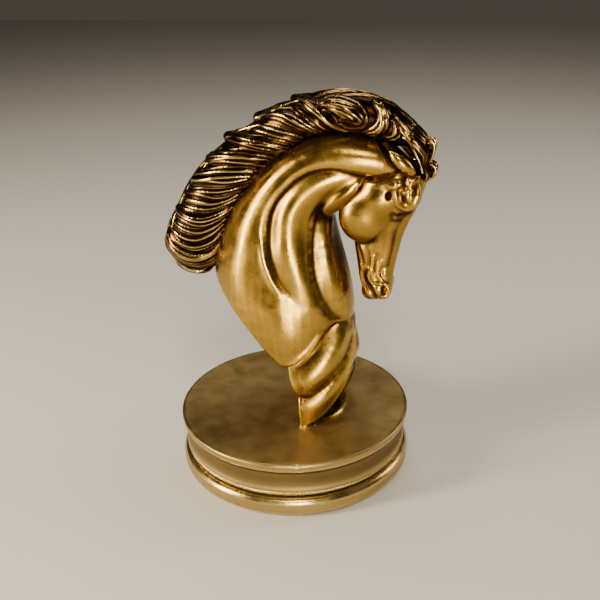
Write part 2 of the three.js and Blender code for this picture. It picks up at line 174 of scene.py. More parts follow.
def flowing(points, steps=STEPS_PER_SPAN):
    """A smooth Catmull-Rom path through given points, of any number of columns."""
    points = np.array(points, float)
    if len(points) < 3:
        return np.linspace(points[0], points[-1], steps + 1)
    padded = np.vstack([2 * points[0] - points[1], points, 2 * points[-1] - points[-2]])
    t = np.linspace(0, 1, steps, endpoint=False)[:, None]
    spans = []
    for a, b, c, d in zip(padded, padded[1:], padded[2:], padded[3:]):
        spans.append(0.5 * (2 * b + (c - a) * t + (2 * a - 5 * b + 4 * c - d) * t ** 2
                            + (3 * b - a - 3 * c + d) * t ** 3))
    return np.vstack(spans + [points[-1:]])


def beside(line, x, z):
    """Distance in side view to an open line: above zero on its right as it runs, below on its left."""
    best = None
    for (ax, az), (bx, bz) in zip(line[:-1], line[1:]):
        dx, dz = bx - ax, bz - az
        share = np.clip(((x - ax) * dx + (z - az) * dz) / (dx * dx + dz * dz), 0, 1)
        away = np.hypot(x - ax - share * dx, z - az - share * dz)
        sign = np.sign(dz * (x - ax) - dx * (z - az))
        here = away * np.where(sign == 0, 1, sign)
        best = here if best is None else np.where(np.abs(here) < np.abs(best), here, best)
    return best


print("a path has", STEPS_PER_SPAN, "steps between two of its points")

# %% [markdown]
# ## The clay
#
# A block of clay is a three-dimensional grid that stores, in every cell, the distance in millimetres to the
# surface: negative inside, positive outside. Laying on a roll keeps the smaller of two distances, with a
# fillet where they nearly agree. Pressing and raising add a little to the distance near a stroke, which
# moves the surface along its own normal. Strokes are drawn in side view, as points of x and z, and most are
# laid onto the surface of the block by looking along y for where the surface is.
#
# The block holds the half with y above zero, and its mirror image completes it, since the horse is the same
# on both sides.

# %% The clay block
FAR = 4.0
ROLL_REACH = 2.0
CAP_ANGLES = np.linspace(0.1, 1.45, 6)
CAP_DEPTH = 0.6
LOFT_SIDES = 48


def melted(a, b, fillet):
    """The smaller of two distances, rounded off where they nearly agree."""
    near = np.maximum(fillet - np.abs(a - b), 0) / fillet
    return np.minimum(a, b) - near * near * fillet / 4


class Clay:
    """A block of clay over the half with y at or above zero, or over both halves."""

    def __init__(self, low, high, cell, whole=False):
        self.cell = cell
        self.whole = whole
        self.low = np.array(low if whole else (low[0], 0, low[2]), float)
        self.size = np.ceil((np.array(high) - self.low) / cell).astype(int) + 1
        self.field = np.full(self.size, FAR, np.float32)
        self.ticks = [self.low[i] + cell * np.arange(self.size[i], dtype=np.float32) for i in range(3)]

    def around(self, low, high):
        """The cells between two corners, and their x, y and z."""
        first = np.clip(np.floor((np.array(low) - self.low) / self.cell).astype(int), 0, self.size - 1)
        last = np.clip(np.ceil((np.array(high) - self.low) / self.cell).astype(int) + 1, 1, self.size)
        cells = tuple(slice(int(a), int(max(a + 1, b))) for a, b in zip(first, last))
        x, y, z = (ticks[s] for ticks, s in zip(self.ticks, cells))
        return cells, x[:, None, None], y[None, :, None], z[None, None, :]

    def side_of_block(self, x, z):
        """How far the surface lies from the plane of symmetry at [x, z]."""
        i, k = (np.array([x, z]) - self.low[[0, 2]]) / self.cell
        i = int(np.clip(i, 0, self.size[0] - 2))
        k = int(np.clip(k, 0, self.size[2] - 2))
        row = self.field[i, :, k]
        inside = np.nonzero(row < 0)[0]
        if not len(inside):
            return 0.0
        j = inside[-1]
        if j + 1 >= len(row):
            return float(self.ticks[1][j])
        share = row[j] / (row[j] - row[j + 1])
        return float(self.ticks[1][j] + share * self.cell)

    def laid_on(self, points, sink=0.0):
        """A smooth path through [x, z, ...] becomes [x, y, z, ...] on the block, or sunk into it."""
        return [(p[0], max(self.side_of_block(p[0], p[1]) - sink, 0), *p[1:]) for p in flowing(points)]

    def loft(self, stations, rings=40):
        """Lays on a form between two outlines: [outer x, outer z, inner x, inner z, half width]."""
        path = flowing(stations, max(2, rings // len(stations)))
        turn = np.linspace(0, 2 * np.pi, LOFT_SIDES, endpoint=False)
        outer = np.stack([path[:, 0], 0 * path[:, 0], path[:, 1]], 1)
        inner = np.stack([path[:, 2], 0 * path[:, 0], path[:, 3]], 1)
        centre = (outer + inner) / 2
        spoke = (outer - inner) / 2
        heading = np.gradient(centre, axis=0)
        heading /= np.linalg.norm(heading, axis=1, keepdims=True)

        def ring(i, share, ahead):
            depth = np.linalg.norm(spoke[i])
            middle = centre[i] + heading[i] * ahead * depth * CAP_DEPTH
            return (middle + spoke[i] * share * np.cos(turn)[:, None]
                    + np.array([0, 1, 0]) * path[i, 4] * share * np.sin(turn)[:, None])

        rows = [ring(0, math.sin(a), -math.cos(a)) for a in CAP_ANGLES]
        rows += [ring(i, 1, 0) for i in range(len(path))]
        rows += [ring(-1, math.sin(a), math.cos(a)) for a in CAP_ANGLES[::-1]]
        self.lay_rings(rows)

    def lay_rings(self, rows):
        """Lays on the closed mesh through a row of rings, by measuring the distance to it."""
        sides, count = LOFT_SIDES, len(rows) * LOFT_SIDES
        points = np.vstack(rows + [rows[0].mean(0)[None], rows[-1].mean(0)[None]])
        quads = [(r * sides + s, r * sides + (s + 1) % sides,
                  (r + 1) * sides + (s + 1) % sides, (r + 1) * sides + s)
                 for r in range(len(rows) - 1) for s in range(sides)]
        caps = [(count, (s + 1) % sides, s) for s in range(sides)]
        caps += [(count + 1, count - sides + s, count - sides + (s + 1) % sides) for s in range(sides)]
        grid = openvdb.FloatGrid.createLevelSetFromPolygons(
            ((points - self.low) / self.cell).astype(np.float32),
            triangles=np.array(caps, np.uint32), quads=np.array(quads, np.uint32),
            halfWidth=FAR / self.cell)
        measured = np.zeros(self.size, np.float32)
        grid.copyToArray(measured)
        self.field = np.minimum(self.field, measured * self.cell)

    def ball(self, centre, radii, fillet=1.0, lean=0.0, carve=False):
        """Lays on an ellipsoid, or carves it out. lean turns it in side view, in degrees."""
        radii = np.array(radii, float)
        reach = radii.max() + FAR
        cells, x, y, z = self.around(np.array(centre) - reach, np.array(centre) + reach)
        x, y, z = x - centre[0], y - centre[1], z - centre[2]
        angle = math.radians(lean)
        x, z = x * math.cos(angle) + z * math.sin(angle), z * math.cos(angle) - x * math.sin(angle)
        near = np.sqrt((x / radii[0]) ** 2 + (y / radii[1]) ** 2 + (z / radii[2]) ** 2)
        slope = np.sqrt((x / radii[0] ** 2) ** 2 + (y / radii[1] ** 2) ** 2 + (z / radii[2] ** 2) ** 2)
        distance = near * (near - 1) / np.maximum(slope, 1e-6)
        if carve:
            self.field[cells] = -melted(-self.field[cells], distance, fillet)
        else:
            self.field[cells] = melted(self.field[cells], distance, fillet)

    def nearest(self, path, margin):
        """Cells near a path, how far each is from it, and the path's further columns there."""
        path = np.asarray(path, float)
        low, high = path[:, :3].min(0) - margin, path[:, :3].max(0) + margin
        cells, x, y, z = self.around(low, high)
        shape = (x.shape[0], y.shape[1], z.shape[2])
        best = np.full(shape, 1e3, np.float32)
        found = [np.zeros(shape, np.float32) for _ in range(path.shape[1] - 3)]
        corner = np.array([x[0, 0, 0], y[0, 0, 0], z[0, 0, 0]])
        for a, b in zip(path[:-1], path[1:]):
            first = np.floor((np.minimum(a, b)[:3] - margin - corner) / self.cell).astype(int)
            last = np.ceil((np.maximum(a, b)[:3] + margin - corner) / self.cell).astype(int) + 1
            part = tuple(slice(max(f, 0), max(min(l, n), 0)) for f, l, n in zip(first, last, shape))
            if any(s.stop <= s.start for s in part):
                continue
            px, py, pz = x[part[0]] - a[0], y[:, part[1]] - a[1], z[:, :, part[2]] - a[2]
            run = (b - a)[:3]
            share = (px * run[0] + py * run[1] + pz * run[2]) / max(float(run @ run), 1e-9)
            share = np.clip(share, 0, 1)
            away = np.sqrt((px - share * run[0]) ** 2 + (py - share * run[1]) ** 2
                           + (pz - share * run[2]) ** 2)
            closer = away < best[part]
            best[part] = np.where(closer, away, best[part])
            for column, values in enumerate(found):
                here = a[3 + column] + share * (b - a)[3 + column]
                values[part] = np.where(closer, here, values[part])
        return cells, best, found

    def roll(self, points, fillet=1.0, carve=False):
        """Lays on a roll of clay along points [x, y, z, radius], or presses one out."""
        path = flowing(points)
        cells, away, (radius,) = self.nearest(path, path[:, 3].max() + ROLL_REACH)
        distance = away - radius
        if carve:
            self.field[cells] = -melted(-self.field[cells], distance, fillet)
        else:
            self.field[cells] = melted(self.field[cells], distance, fillet)

    def crease(self, points, width, right_width=None):
        """Presses a sharp line along points [x, y, z, depth]. It may fade out wider on its right."""
        path = np.array(points)
        cells, away, (depth,) = self.nearest(path, 4 * max(width, right_width or 0))
        if right_width:
            x, z = self.ticks[0][cells[0]][:, None, None], self.ticks[2][cells[2]][None, None, :]
            share = np.clip(beside(path[:, [0, 2]], x, z) / 0.8 + 0.5, 0, 1)
            width = width + (right_width - width) * share
        self.field[cells] += depth * np.exp(-away / width)

    def press_beside(self, line, depth, slope, reach):
        """Presses in the right-hand side of a line in side view, from the line out to reach."""
        line = flowing(line)
        low = (line[:, 0].min() - reach, self.low[1], line[:, 1].min() - reach)
        high = (line[:, 0].max() + reach, self.ticks[1][-1], line[:, 1].max() + reach)
        cells, x, _, z = self.around(low, high)
        away = beside(line, x, z)
        rise = np.clip(away / slope, 0, 1) * np.clip((reach - away) / slope, 0, 1)
        self.field[cells] += depth * rise * rise * (3 - 2 * rise)

    def swell(self, points, width):
        """Raises a soft ridge along points [x, y, z, height]; a negative height is a soft valley."""
        cells, away, (height,) = self.nearest(points, 2.5 * width)
        self.field[cells] -= height * np.exp(-(away / width) ** 2)

    def trim(self, distance, fillet):
        """Cuts away where distance, a function of x, y and z, is negative."""
        cells, x, y, z = self.around(self.low, self.low + self.cell * self.size)
        self.field = -melted(-self.field, distance(x, y, z), fillet)

    def doubled(self):
        """A block over both halves, made from this half and its mirror image."""
        field, low_y = self.both_halves()
        block = Clay((self.low[0], low_y, self.low[2]), (self.low[0], low_y, self.low[2]), self.cell, True)
        block.size = np.array(field.shape)
        block.field = field.copy()
        block.ticks = [block.low[i] + self.cell * np.arange(n, dtype=np.float32)
                       for i, n in enumerate(field.shape)]
        return block

    def both_halves(self):
        """The whole field and the y of its first cell."""
        if self.whole:
            return self.field, self.low[1]
        return np.concatenate([self.field[:, :0:-1], self.field], 1), -float(self.ticks[1][-1])


print("clay is measured out to", FAR, "mm from its surface")

# %% [markdown]
# ## Firing the clay
#
# A finished block becomes an ordinary mesh, one smooth skin where the distance is zero. On the real piece
# dark patina stays in the hollows and the ridges are rubbed bright. A shader can't see that by itself, so
# each point of the mesh carries a number, "hollow": the distance averaged over a small cube round the
# point, with its sign turned. In a hollow there is more metal than air round a point, so the number is
# above zero, and on a ridge it is below. Strokes of painted shade are added to it, darker in pits, creases,
# seams and under overhangs where shade falls.

# %% Fire the clay
def blurred(field, cells):
    """The field averaged over a cube of cells, by running sums along each axis."""
    width = 2 * cells + 1
    for axis in range(3):
        padding = [(cells + 1, cells) if i == axis else (0, 0) for i in range(3)]
        sums = np.cumsum(np.pad(field, padding, mode="edge"), axis=axis, dtype=np.float64)
        upper = np.take(sums, range(width, sums.shape[axis]), axis)
        lower = np.take(sums, range(0, sums.shape[axis] - width), axis)
        field = ((upper - lower) / width).astype(np.float32)
    return field


def sampled(field, low, cell, points):
    """The field's value at points, interpolated between cells."""
    place = (points - low) / cell
    first = np.clip(np.floor(place).astype(int), 0, np.array(field.shape) - 2)
    share = np.clip(place - first, 0, 1)
    total = np.zeros(len(points), np.float32)
    for corner in range(8):
        step = np.array([corner >> 2 & 1, corner >> 1 & 1, corner & 1])
        weight = np.prod(np.where(step, share, 1 - share), axis=1)
        i, j, k = (first + step).T
        total += weight * field[i, j, k]
    return total


def fired(clay, name, relief_reach=1.0, mirrored=False, shade_strokes=()):
    """Turns a block into a mesh object. Its attribute "hollow" is above zero in hollows, below on ridges,
    and higher still where shade is painted on.

    shade_strokes are strokes in side view, [x, z, reach, amount], where the shade is painted: darker in
    pits, creases, seams and under overhangs.
    """
    field, low_y = clay.both_halves()
    if mirrored:
        field, low_y = field[:, ::-1], -low_y - clay.cell * (field.shape[1] - 1)
    low = np.array([clay.low[0], low_y, clay.low[2]])
    field = np.clip(field, -FAR, FAR)
    for axis in range(3):
        edge = [slice(None)] * 3
        for end in (0, -1):
            edge[axis] = end
            field[tuple(edge)] = np.maximum(field[tuple(edge)], clay.cell)
    grid = openvdb.FloatGrid(FAR)
    grid.copyFromArray(np.ascontiguousarray(field))
    points, _, quads = grid.convertToPolygons(isovalue=0.0, adaptivity=0.0)
    points = points * clay.cell + low
    mesh = bpy.data.meshes.new(name)
    mesh.vertices.add(len(points))
    mesh.vertices.foreach_set("co", (points * MM).astype(np.float32).ravel())
    mesh.loops.add(quads.size)
    mesh.loops.foreach_set("vertex_index", quads[:, ::-1].astype(np.int32).ravel())
    mesh.polygons.add(len(quads))
    mesh.polygons.foreach_set("loop_start", np.arange(0, quads.size, 4, dtype=np.int32))
    mesh.update(calc_edges=True)
    mesh.validate()
    mesh.shade_smooth()
    shallow = np.clip(field, -2 * relief_reach, 2 * relief_reach)
    smooth = blurred(shallow, max(1, round(relief_reach / clay.cell)))
    hollow = -sampled(smooth, low, clay.cell, points)
    # Painted shade: each stroke darkens the hollow number near it, in side view.
    for stroke in shade_strokes:
        path = flowing(stroke)
        away = np.full(len(points), 1e3)
        painted_shade = np.zeros(len(points))
        for x, z, reach, amount in path:
            here = ((points[:, 0] - x) ** 2 + (points[:, 2] - z) ** 2) / reach ** 2
            painted_shade = np.where(here < away, amount, painted_shade)
            away = np.minimum(away, here)
        hollow = hollow + painted_shade * np.exp(-away)
    mesh.attributes.new("hollow", "FLOAT", "POINT").data.foreach_set("value", hollow.astype(np.float32))
    made = bpy.data.objects.new(name, mesh)
    bpy.context.scene.collection.objects.link(made)
    print(name, len(quads), "faces, hollow from", round(float(hollow.min()), 3), "to",
          round(float(hollow.max()), 3))
    return made


print("fired clay carries its hollows")

# %% [markdown]
# ## The neck
#
# On the real piece the neck is a casting with three rounded bands of muscle down each side: the crest band,
# the long band under it, and the windpipe in front. Each band could be a tube of its own, but they have to
# flow into one skin. So a lofted core gives the bulk, swells fill out the bands, and creases part them,
# sharp on one side and soft on the other. A thick fold lies behind the jaw.
#
# Then the neck is cut to its neighbours: along the shoulder, where the chest starts, and behind the ear,
# where it is hollow apart from a web in the middle. The flat cut at the back comes last.

# %% Neck
NECK_CELL = 0.42
NECK = [
    (-9, 37, 12, 40, 17),
    (-19, 47, 17.5, 48, 18),
    (-25, 60, 21.4, 57, 17.5),
    (-25.8, 72, 20.8, 67, 16),
    (-23.4, 82, 18.8, 76.5, 14.5),
    (-19.5, 92, 16.3, 84, 13),
    (-13, 101, 14.5, 90, 12),
    (-5, 109, 15.5, 95, 11),
    (5, 115.5, 18.5, 98.5, 10.2),
    (15, 118.5, 22, 100, 9.5),
    (24, 118, 26.5, 102, 8.7),
    (32, 115.5, 31, 103.5, 7.5),
    (37, 111.5, 34.5, 104.5, 5.5),
]
neck = Clay((-32, 0, 30), (44, 22, 124), NECK_CELL)
neck.loft(NECK)
CREST_BAND = [(33, 110, 0.6), (24, 112.5, 0.9), (15, 113.5, 1.1), (5, 110.5, 1.2), (-3.5, 102.5, 1.2),
              (-9.3, 92, 1.2), (-12.3, 80, 1.1), (-13.3, 68, 0.7), (-12.5, 60, 0.2)]
LONG_BAND = [(21, 104.8, 0.8), (13, 103.5, 1.2), (6.5, 99.5, 1.6), (2.8, 93.5, 1.8), (2.4, 86, 1.8),
             (4, 79, 1.6), (6.5, 72, 1.2), (9.5, 65, 0.6)]
WINDPIPE = [(14.5, 93, 0.8), (13.6, 88, 1.3), (14, 82, 1.3), (15.5, 74, 1.2), (18, 66, 1.0), (19.5, 60, 0.6)]
neck.swell(neck.laid_on(CREST_BAND, 1), 5.2)
neck.swell(neck.laid_on(LONG_BAND, 1), 3.6)
neck.swell(neck.laid_on(WINDPIPE, 1), 2.6)
SHOULDER_BULGE = [(-1, 63, 1.2), (2, 55, 1.6), (4, 49, 0.8)]
neck.swell(neck.laid_on(SHOULDER_BULGE, 2), 6.5)
print("neck is", round(2 * neck.side_of_block(0, 90), 1), "mm thick before the creases")

# %% Part the bands and lay the fold behind the jaw
CREST_BAND_EDGE = [(30, 104.6, 1.4), (24.1, 106.7, 2.2), (17, 108.6, 2.6), (10.8, 107.9, 2.8),
                   (6.2, 105.7, 2.8), (3, 103, 2.6), (-0.5, 99.2, 2.8), (-2.7, 95.2, 3.2),
                   (-3.6, 91.8, 3.6), (-4, 87.7, 3.6), (-3.8, 83.6, 2.6), (-3, 79.5, 1.8),
                   (-1.2, 74.8, 1.3), (1.4, 70.7, 0.6)]
LONG_BAND_EDGE = [(22, 102.8, 1.6), (18.6, 101.1, 2.6), (14.8, 97.7, 3.0), (11.3, 94.2, 3.2),
                  (9.8, 90.2, 3.2), (9.5, 85.5, 3.0), (9.8, 78.6, 2.8), (10.8, 72.4, 2.4),
                  (12.8, 66.8, 2.2), (15.3, 62, 1.8), (17.4, 59.5, 1.0)]
neck.crease(neck.laid_on(CREST_BAND_EDGE), 2.2, 0.7)
neck.crease(neck.laid_on(LONG_BAND_EDGE), 2.2, 0.8)
BAND_RIM = [(-5.4, 86, 0.3), (-5.2, 82, 0.7), (-4.4, 78, 0.8), (-2.6, 73.5, 0.6), (0.2, 69, 0.3)]
neck.swell(neck.laid_on(BAND_RIM), 1.2)
JAW_FOLD = [(14.2, 5.2, 95.2, 2.6), (17, 5.9, 98, 3.0), (19.6, 6.4, 100.4, 2.8), (22, 6.8, 102.3, 2.0),
            (23.6, 7, 103.6, 1.1)]
neck.roll(JAW_FOLD, 2.2)
print("bands parted by creases of", len(CREST_BAND_EDGE), "and", len(LONG_BAND_EDGE), "points")

# %% Cut the neck to its neighbours
SHOULDER_EDGE = flowing([(-4, 38.5), (0.5, 42.6), (3, 43.6), (5.7, 45.1), (8.6, 47.4), (11.2, 50.6),
                         (13.4, 54), (15.4, 56.4), (17.4, 57.2), (19.4, 56.4), (21.4, 54.6), (26, 53)])
neck.trim(lambda x, y, z: -beside(SHOULDER_EDGE, x, z) + 0 * y, 1.4)
EAR_EDGE = flowing([(26.5, 126), (28.6, 119), (30.2, 115.4), (32.2, 112.6), (34.7, 109.6), (37.6, 107),
                    (41, 105)])
EAR_WEB = 2.4
neck.trim(lambda x, y, z: np.maximum(beside(EAR_EDGE, x, z), EAR_WEB - y), 1.6)
SHOULDER_LIP = [(3.4, 44.9, 0.3), (5.6, 46.2, 0.5), (8.2, 48.4, 0.6), (10.8, 51.6, 0.6), (12.8, 54.6, 0.4)]
neck.swell(neck.laid_on(SHOULDER_LIP), 1.0)
BACK_CUT = (-14.8, 58.8)
BACK_FACING = (-0.721, -0.693)


def behind_cut(x, y, z):
    """Distance to the flat cut at the back of the neck, below zero behind it."""
    return (BACK_CUT[0] - x) * BACK_FACING[0] + (BACK_CUT[1] - z) * BACK_FACING[1] + 0 * y


neck.trim(behind_cut, 1.6)
print("neck is", round(2 * neck.side_of_block(0, 90), 1), "mm thick")

# %% Paint shade on and fire the neck
# Painted shade: darker behind the ear, along the groove under the crest band, along the fold behind the jaw,
# along the windpipe, at the front of the shoulder edge, low at the back of the neck, along the seam under the
# mane and at the back end of the shoulder lip.
NECK_SHADE_STROKES = [
    [(31.6, 119, 1.8, 1.0), (33.6, 115.6, 2, 1.2), (36, 112.4, 2, 1.2), (38.6, 109.6, 1.8, 1.0)],
    [(24, 106.7, 1.0, 0.1), (14, 108.4, 1.1, 0.15), (6.2, 105.7, 1.2, 0.2), (-0.5, 99.2, 1.2, 0.2),
     (-3.6, 91.8, 1.2, 0.2), (-3.8, 83.6, 1.1, 0.15), (-1.2, 74.8, 1, 0.1)],
    [(12, 93, 1.6, 0.25), (17, 97, 1.6, 0.25), (22, 100.6, 1.6, 0.25), (28, 102.8, 1.6, 0.25)],
    [(13, 92, 2.5, 0.2), (15.6, 86, 3, 0.25), (18, 78, 3, 0.25), (20, 70, 3, 0.15)],
    [(14, 54.6, 1.6, 0.25), (16.5, 57.4, 1.8, 0.3), (19, 57, 1.6, 0.3)],
    [(-12, 52, 4, 0.1), (-4, 46, 4, 0.1)],
    [(-22, 77, 3, 0.12), (-16.5, 89, 3, 0.15), (-7.5, 101.6, 3, 0.15), (3.5, 112, 3, 0.15),
     (14, 115.8, 2.6, 0.2), (25, 116.4, 2.4, 0.2)],
    [(2, 43.4, 1.2, 0.25), (4.6, 44.4, 1.0, 0.2)],
]
neck_piece = fired(neck, "neck", 1.3, shade_strokes=NECK_SHADE_STROKES)
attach(neck_piece, "root")
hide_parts("neck_casting")

# %% [markdown]
# ## The chest
#
# Under the shoulder the casting narrows to a prow wrapped by two folds of skin that climb towards the
# front. The lower fold hangs over a recess, and a thin lip of metal meets the base at the back corner. The
# bulk isn't an oval, which a loft would give: it is flat behind and round in front. So its distance comes
# from a formula for one level section, between the widths set for a few heights. Then swells and creases
# lay the folds over it, and the recess is pressed in.

# %% Chest
CHEST_CELL = 0.38
FOOT_BOTTOM = BASE_TOP - 0.25
FOOT_LINE = BASE_TOP - 0.1
CHEST = [
    (6, 20.7, 17.8, 20.7, 18.0),
    (6, 24, 18.6, 24, 17.9),
    (5.4, 30, 20.8, 30, 17.6),
    (4, 35, 22.2, 36, 17),
    (2.2, 41, 23, 42, 16.2),
    (1.5, 48, 22.8, 49, 14.8),
    (3, 54, 22, 56, 12.4),
    (6, 58, 21, 61, 9),
]
PROW_POWER = 2.2
BACK_CORNER = 1.2
chest = Clay((-2, 0, 19), (28, 22, 66), CHEST_CELL)


def chest_section(x, y, z):
    """Distance to a prow: flat behind, round in front, narrowing towards the top."""
    rows = flowing(CHEST)
    height = rows[:, 1]
    back, front, half = (np.interp(z, height, rows[:, i]) for i in (0, 2, 4))
    reach = (x - back) / (front - back)
    round_front = np.sqrt(np.maximum(1 - np.clip(reach, 0, 1) ** PROW_POWER, 0))
    slope = 1 / np.sqrt(1 + (half / (front - back) * np.clip(reach, 0, 0.9)) ** 2)
    flank = np.maximum((y - half * round_front) * slope, x - front)
    return -melted(-flank, x - back, BACK_CORNER)


_, chest_x, chest_y, chest_z = chest.around(chest.low, chest.low + chest.cell * chest.size)
chest.field = np.maximum(chest_section(chest_x, chest_y, chest_z), FOOT_BOTTOM - chest_z).astype(np.float32)
chest.field = np.clip(chest.field, -FAR, FAR)
print("chest is", round(2 * chest.side_of_block(10, 24), 1), "mm wide at its foot")

# %% Folds, recess and foot
FOLD_1 = [(5.4, 37.4, 0.5), (8, 38.2, 1.7), (11, 40.2, 2.5), (14.6, 44, 2.5), (17.8, 49, 2.2),
          (19.8, 55, 1.2)]
FOLD_2 = [(8, 28, 0.2), (12, 29.4, 0.4), (16.4, 33, 0.7), (20, 38.6, 1.2), (22, 45.5, 1.3)]
FOLD_EDGE = [(6, 32.6, 1.6), (8, 32.4, 2.0), (10.8, 33.4, 2.2), (13.8, 35.4, 2.4),
             (16.6, 38.2, 2.4), (19, 41.4, 2.4), (20.8, 44.8, 2.2), (22, 49.2, 2.0), (22.4, 54, 1.6)]
UNDER_SHOULDER = [(5.6, 42.8, 0.3), (7.4, 44.4, 0.7), (10.8, 48.2, 0.9), (13.4, 53, 1.0), (16, 57.6, 1.0)]
chest.crease(chest.laid_on(UNDER_SHOULDER), 1.3)
chest.swell(chest.laid_on(FOLD_1, 1), 3.4)
chest.swell(chest.laid_on(FOLD_2, 1), 4.2)
chest.crease(chest.laid_on(FOLD_EDGE), 1.0, 1.5)
OVERHANG = [(7, 20), (8.6, 22), (11.5, 23.6), (14.4, 25.8), (17, 28.8), (19.6, 33), (21.4, 38)]
chest.press_beside(OVERHANG, 3.6, 1.2, 12)
KEEL = [(13.6, 0, 22, 3.4), (15, 0, 26, 3.4), (17.4, 0, 32, 3.2), (19.4, 0, 38, 3)]
chest.roll(KEEL, 1.6)
BASE_LIP = [(7, 17.2, FOOT_LINE, 0.9), (8.6, 16.8, FOOT_LINE, 1.0), (10.4, 15.8, FOOT_LINE, 0.8)]
chest.roll(BASE_LIP, 0.9)
FOOT_RIM = [(10.5, 14, FOOT_LINE, 1.2), (13, 12, FOOT_LINE, 1.3), (15.4, 9, FOOT_LINE, 1.3),
            (17.2, 5, FOOT_LINE, 1.3), (17.8, 0, FOOT_LINE, 1.3)]
chest.roll(FOOT_RIM, 1.0)
pin_low, pin_high = (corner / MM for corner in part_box("locating_pin_left"))
pin_x, pin_y = (pin_low.x + pin_high.x) / 2, (pin_low.y + pin_high.y) / 2
PIN_BOSS = [(pin_x, pin_y, FOOT_LINE, 3.0), (pin_x, pin_y, pin_high.z + 1, 3.0)]
chest.roll(PIN_BOSS, 1.2)
chest.field = np.maximum(chest.field, FOOT_BOTTOM - chest_z)
THROAT_NOTCH = [(20.4, 7.5, 57.4, 0.5), (21.6, 7.2, 54.2, 1.1), (21.6, 8.6, 51.4, 0.7)]
chest.roll(THROAT_NOTCH, 0.8, carve=True)
print("a boss of metal covers the locating pin at", round(pin_x, 2), round(pin_y, 2))

# %% Paint shade on and fire the chest
# Painted shade: darker along the crease under the shoulder, along the edge of the lower fold, under the
# overhang at the foot and in the throat notch.
CHEST_SHADE_STROKES = [
    [(5, 42.6, 0.7, 0.2), (9, 46.6, 0.7, 0.15), (12, 51.2, 0.8, 0.2), (15, 56.2, 1.1, 0.3)],
    [(6.4, 32.4, 0.9, 0.3), (9, 32.3, 0.9, 0.3), (11, 33.0, 0.8, 0.2), (14, 35.4, 0.8, 0.1),
     (17, 38.6, 0.8, 0.1)],
    [(20, 44, 0.8, 0.15), (21.6, 50, 0.8, 0.2)],
    [(12.4, 21.2, 1.5, 0.5), (15.4, 22.6, 1.6, 0.5), (18.4, 26, 1.6, 0.3)],
    [(20.6, 56.5, 1.0, 0.4), (21.4, 53.6, 1.0, 0.4)],
]
chest_piece = fired(chest, "chest", 1.2, shade_strokes=CHEST_SHADE_STROKES)
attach(chest_piece, "root")
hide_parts("chest_casting")

# %% [markdown]
# ## The head
#
# The head is fine work: a skull that tapers to the muzzle, with the round cheek and the muzzle's end laid
# on it as balls. Blender's sculpt brushes would suit it, but a script can't hold a brush stroke. The skull
# is lofted like the neck, in cells about half the size of the neck's.

# %% Head core and cheek
HEAD_CELL = 0.24
HEAD = [
    (33.5, 108.6, 40.6, 109, 5.4),
    (26.5, 105.3, 42.6, 105.2, 7.8),
    (22, 100, 43, 101, 8.2),
    (19.8, 94, 41.4, 95.2, 7.4),
    (19.6, 88.5, 39, 90.2, 6.0),
    (21.3, 83.2, 37.2, 85.5, 4.9),
    (22.3, 78, 36, 80.5, 4.2),
    (23, 73, 34.9, 75.3, 3.9),
    (23.9, 68.6, 34.2, 70.5, 4.1),
    (25.2, 64.9, 33, 66.2, 3.8),
]
head = Clay((14.5, 0, 59.5), (47, 13, 116), HEAD_CELL)
head.loft(HEAD)
TEMPLE = ((29.6, 3.6, 98.4), (7.4, 5.6, 6.6))
CHEEK = ((25.0, 4.2, 93), (7.7, 5.1, 8.9))
MUZZLE = ((30.8, 0.6, 67.6), (3.3, 4.8, 3.9))
CHIN = ((26.9, 0, 65.7), (2.8, 3.4, 2.5))
head.ball(*TEMPLE, 2.4)
head.ball(*CHEEK, 1.6, lean=-4)
head.ball(*MUZZLE, 1.6, lean=20)
head.ball(*CHIN, 1.2)
print("cheek reaches", round(head.side_of_block(25, 93), 2), "mm from the middle")

# %% Jaw rim, brow and cheekbone
JAW_RIM = [(18.2, 98.2, 0.2), (19.6, 100.3, 0.7), (22, 102, 0.9), (24.6, 103.6, 0.9), (27.6, 104, 0.9),
           (30.6, 104.3, 0.9), (33, 105.3, 0.9), (35, 106.6, 0.9), (37, 107.6, 0.7)]
head.swell(head.laid_on(JAW_RIM), 1.3)
BROW = [(34.2, 104.6, 0.7), (36.2, 105.4, 1.4), (38.2, 104.9, 1.5), (40.6, 105.6, 1.6), (42.2, 104.3, 1.5),
        (42.9, 102, 1.0)]
head.swell(head.laid_on(BROW, 0.5), 1.3)
CHEEKBONE = [(35.4, 95.4, 0.9), (34.6, 92.4, 0.9), (33.6, 89, 0.9), (33.2, 85, 0.8), (32.8, 81.3, 0.7),
             (31.8, 77.3, 0.5)]
head.swell(head.laid_on(CHEEKBONE, 0.4), 1.1)
NOSE_GROOVE = [(38, 93.4, 0.3), (36.3, 90, 0.8), (35.1, 86, 0.9), (34.4, 82, 0.9), (33.6, 78, 0.7),
               (32.8, 75, 0.3)]
head.crease(head.laid_on(NOSE_GROOVE), 0.7)
UNDER_CHEEK = [(20.6, 84.6, 0.4), (22.4, 83.7, 1.4), (24.8, 83.4, 1.8), (27.2, 84.1, 1.4), (29.4, 86, 0.8),
               (31, 88.4, 0.4)]
head.crease(head.laid_on(UNDER_CHEEK), 0.7, 1.1)
print("brow stands", round(head.side_of_block(38.2, 104.9), 2), "mm from the middle")

# %% [markdown]
# ## The eye
#
# The real eye is a swollen, half-closed bulge with a heavy rim, two lumps of brow over it and a small dark
# pit behind it at the temple. Painted on, it would catch no light, so it is built in the order of the real
# thing: the orbit is laid on, a socket is carved from it, the eyeball stands upright in that, and rolls
# make the rim and the brows. Creases part the brows and draw the two lines under the eye.

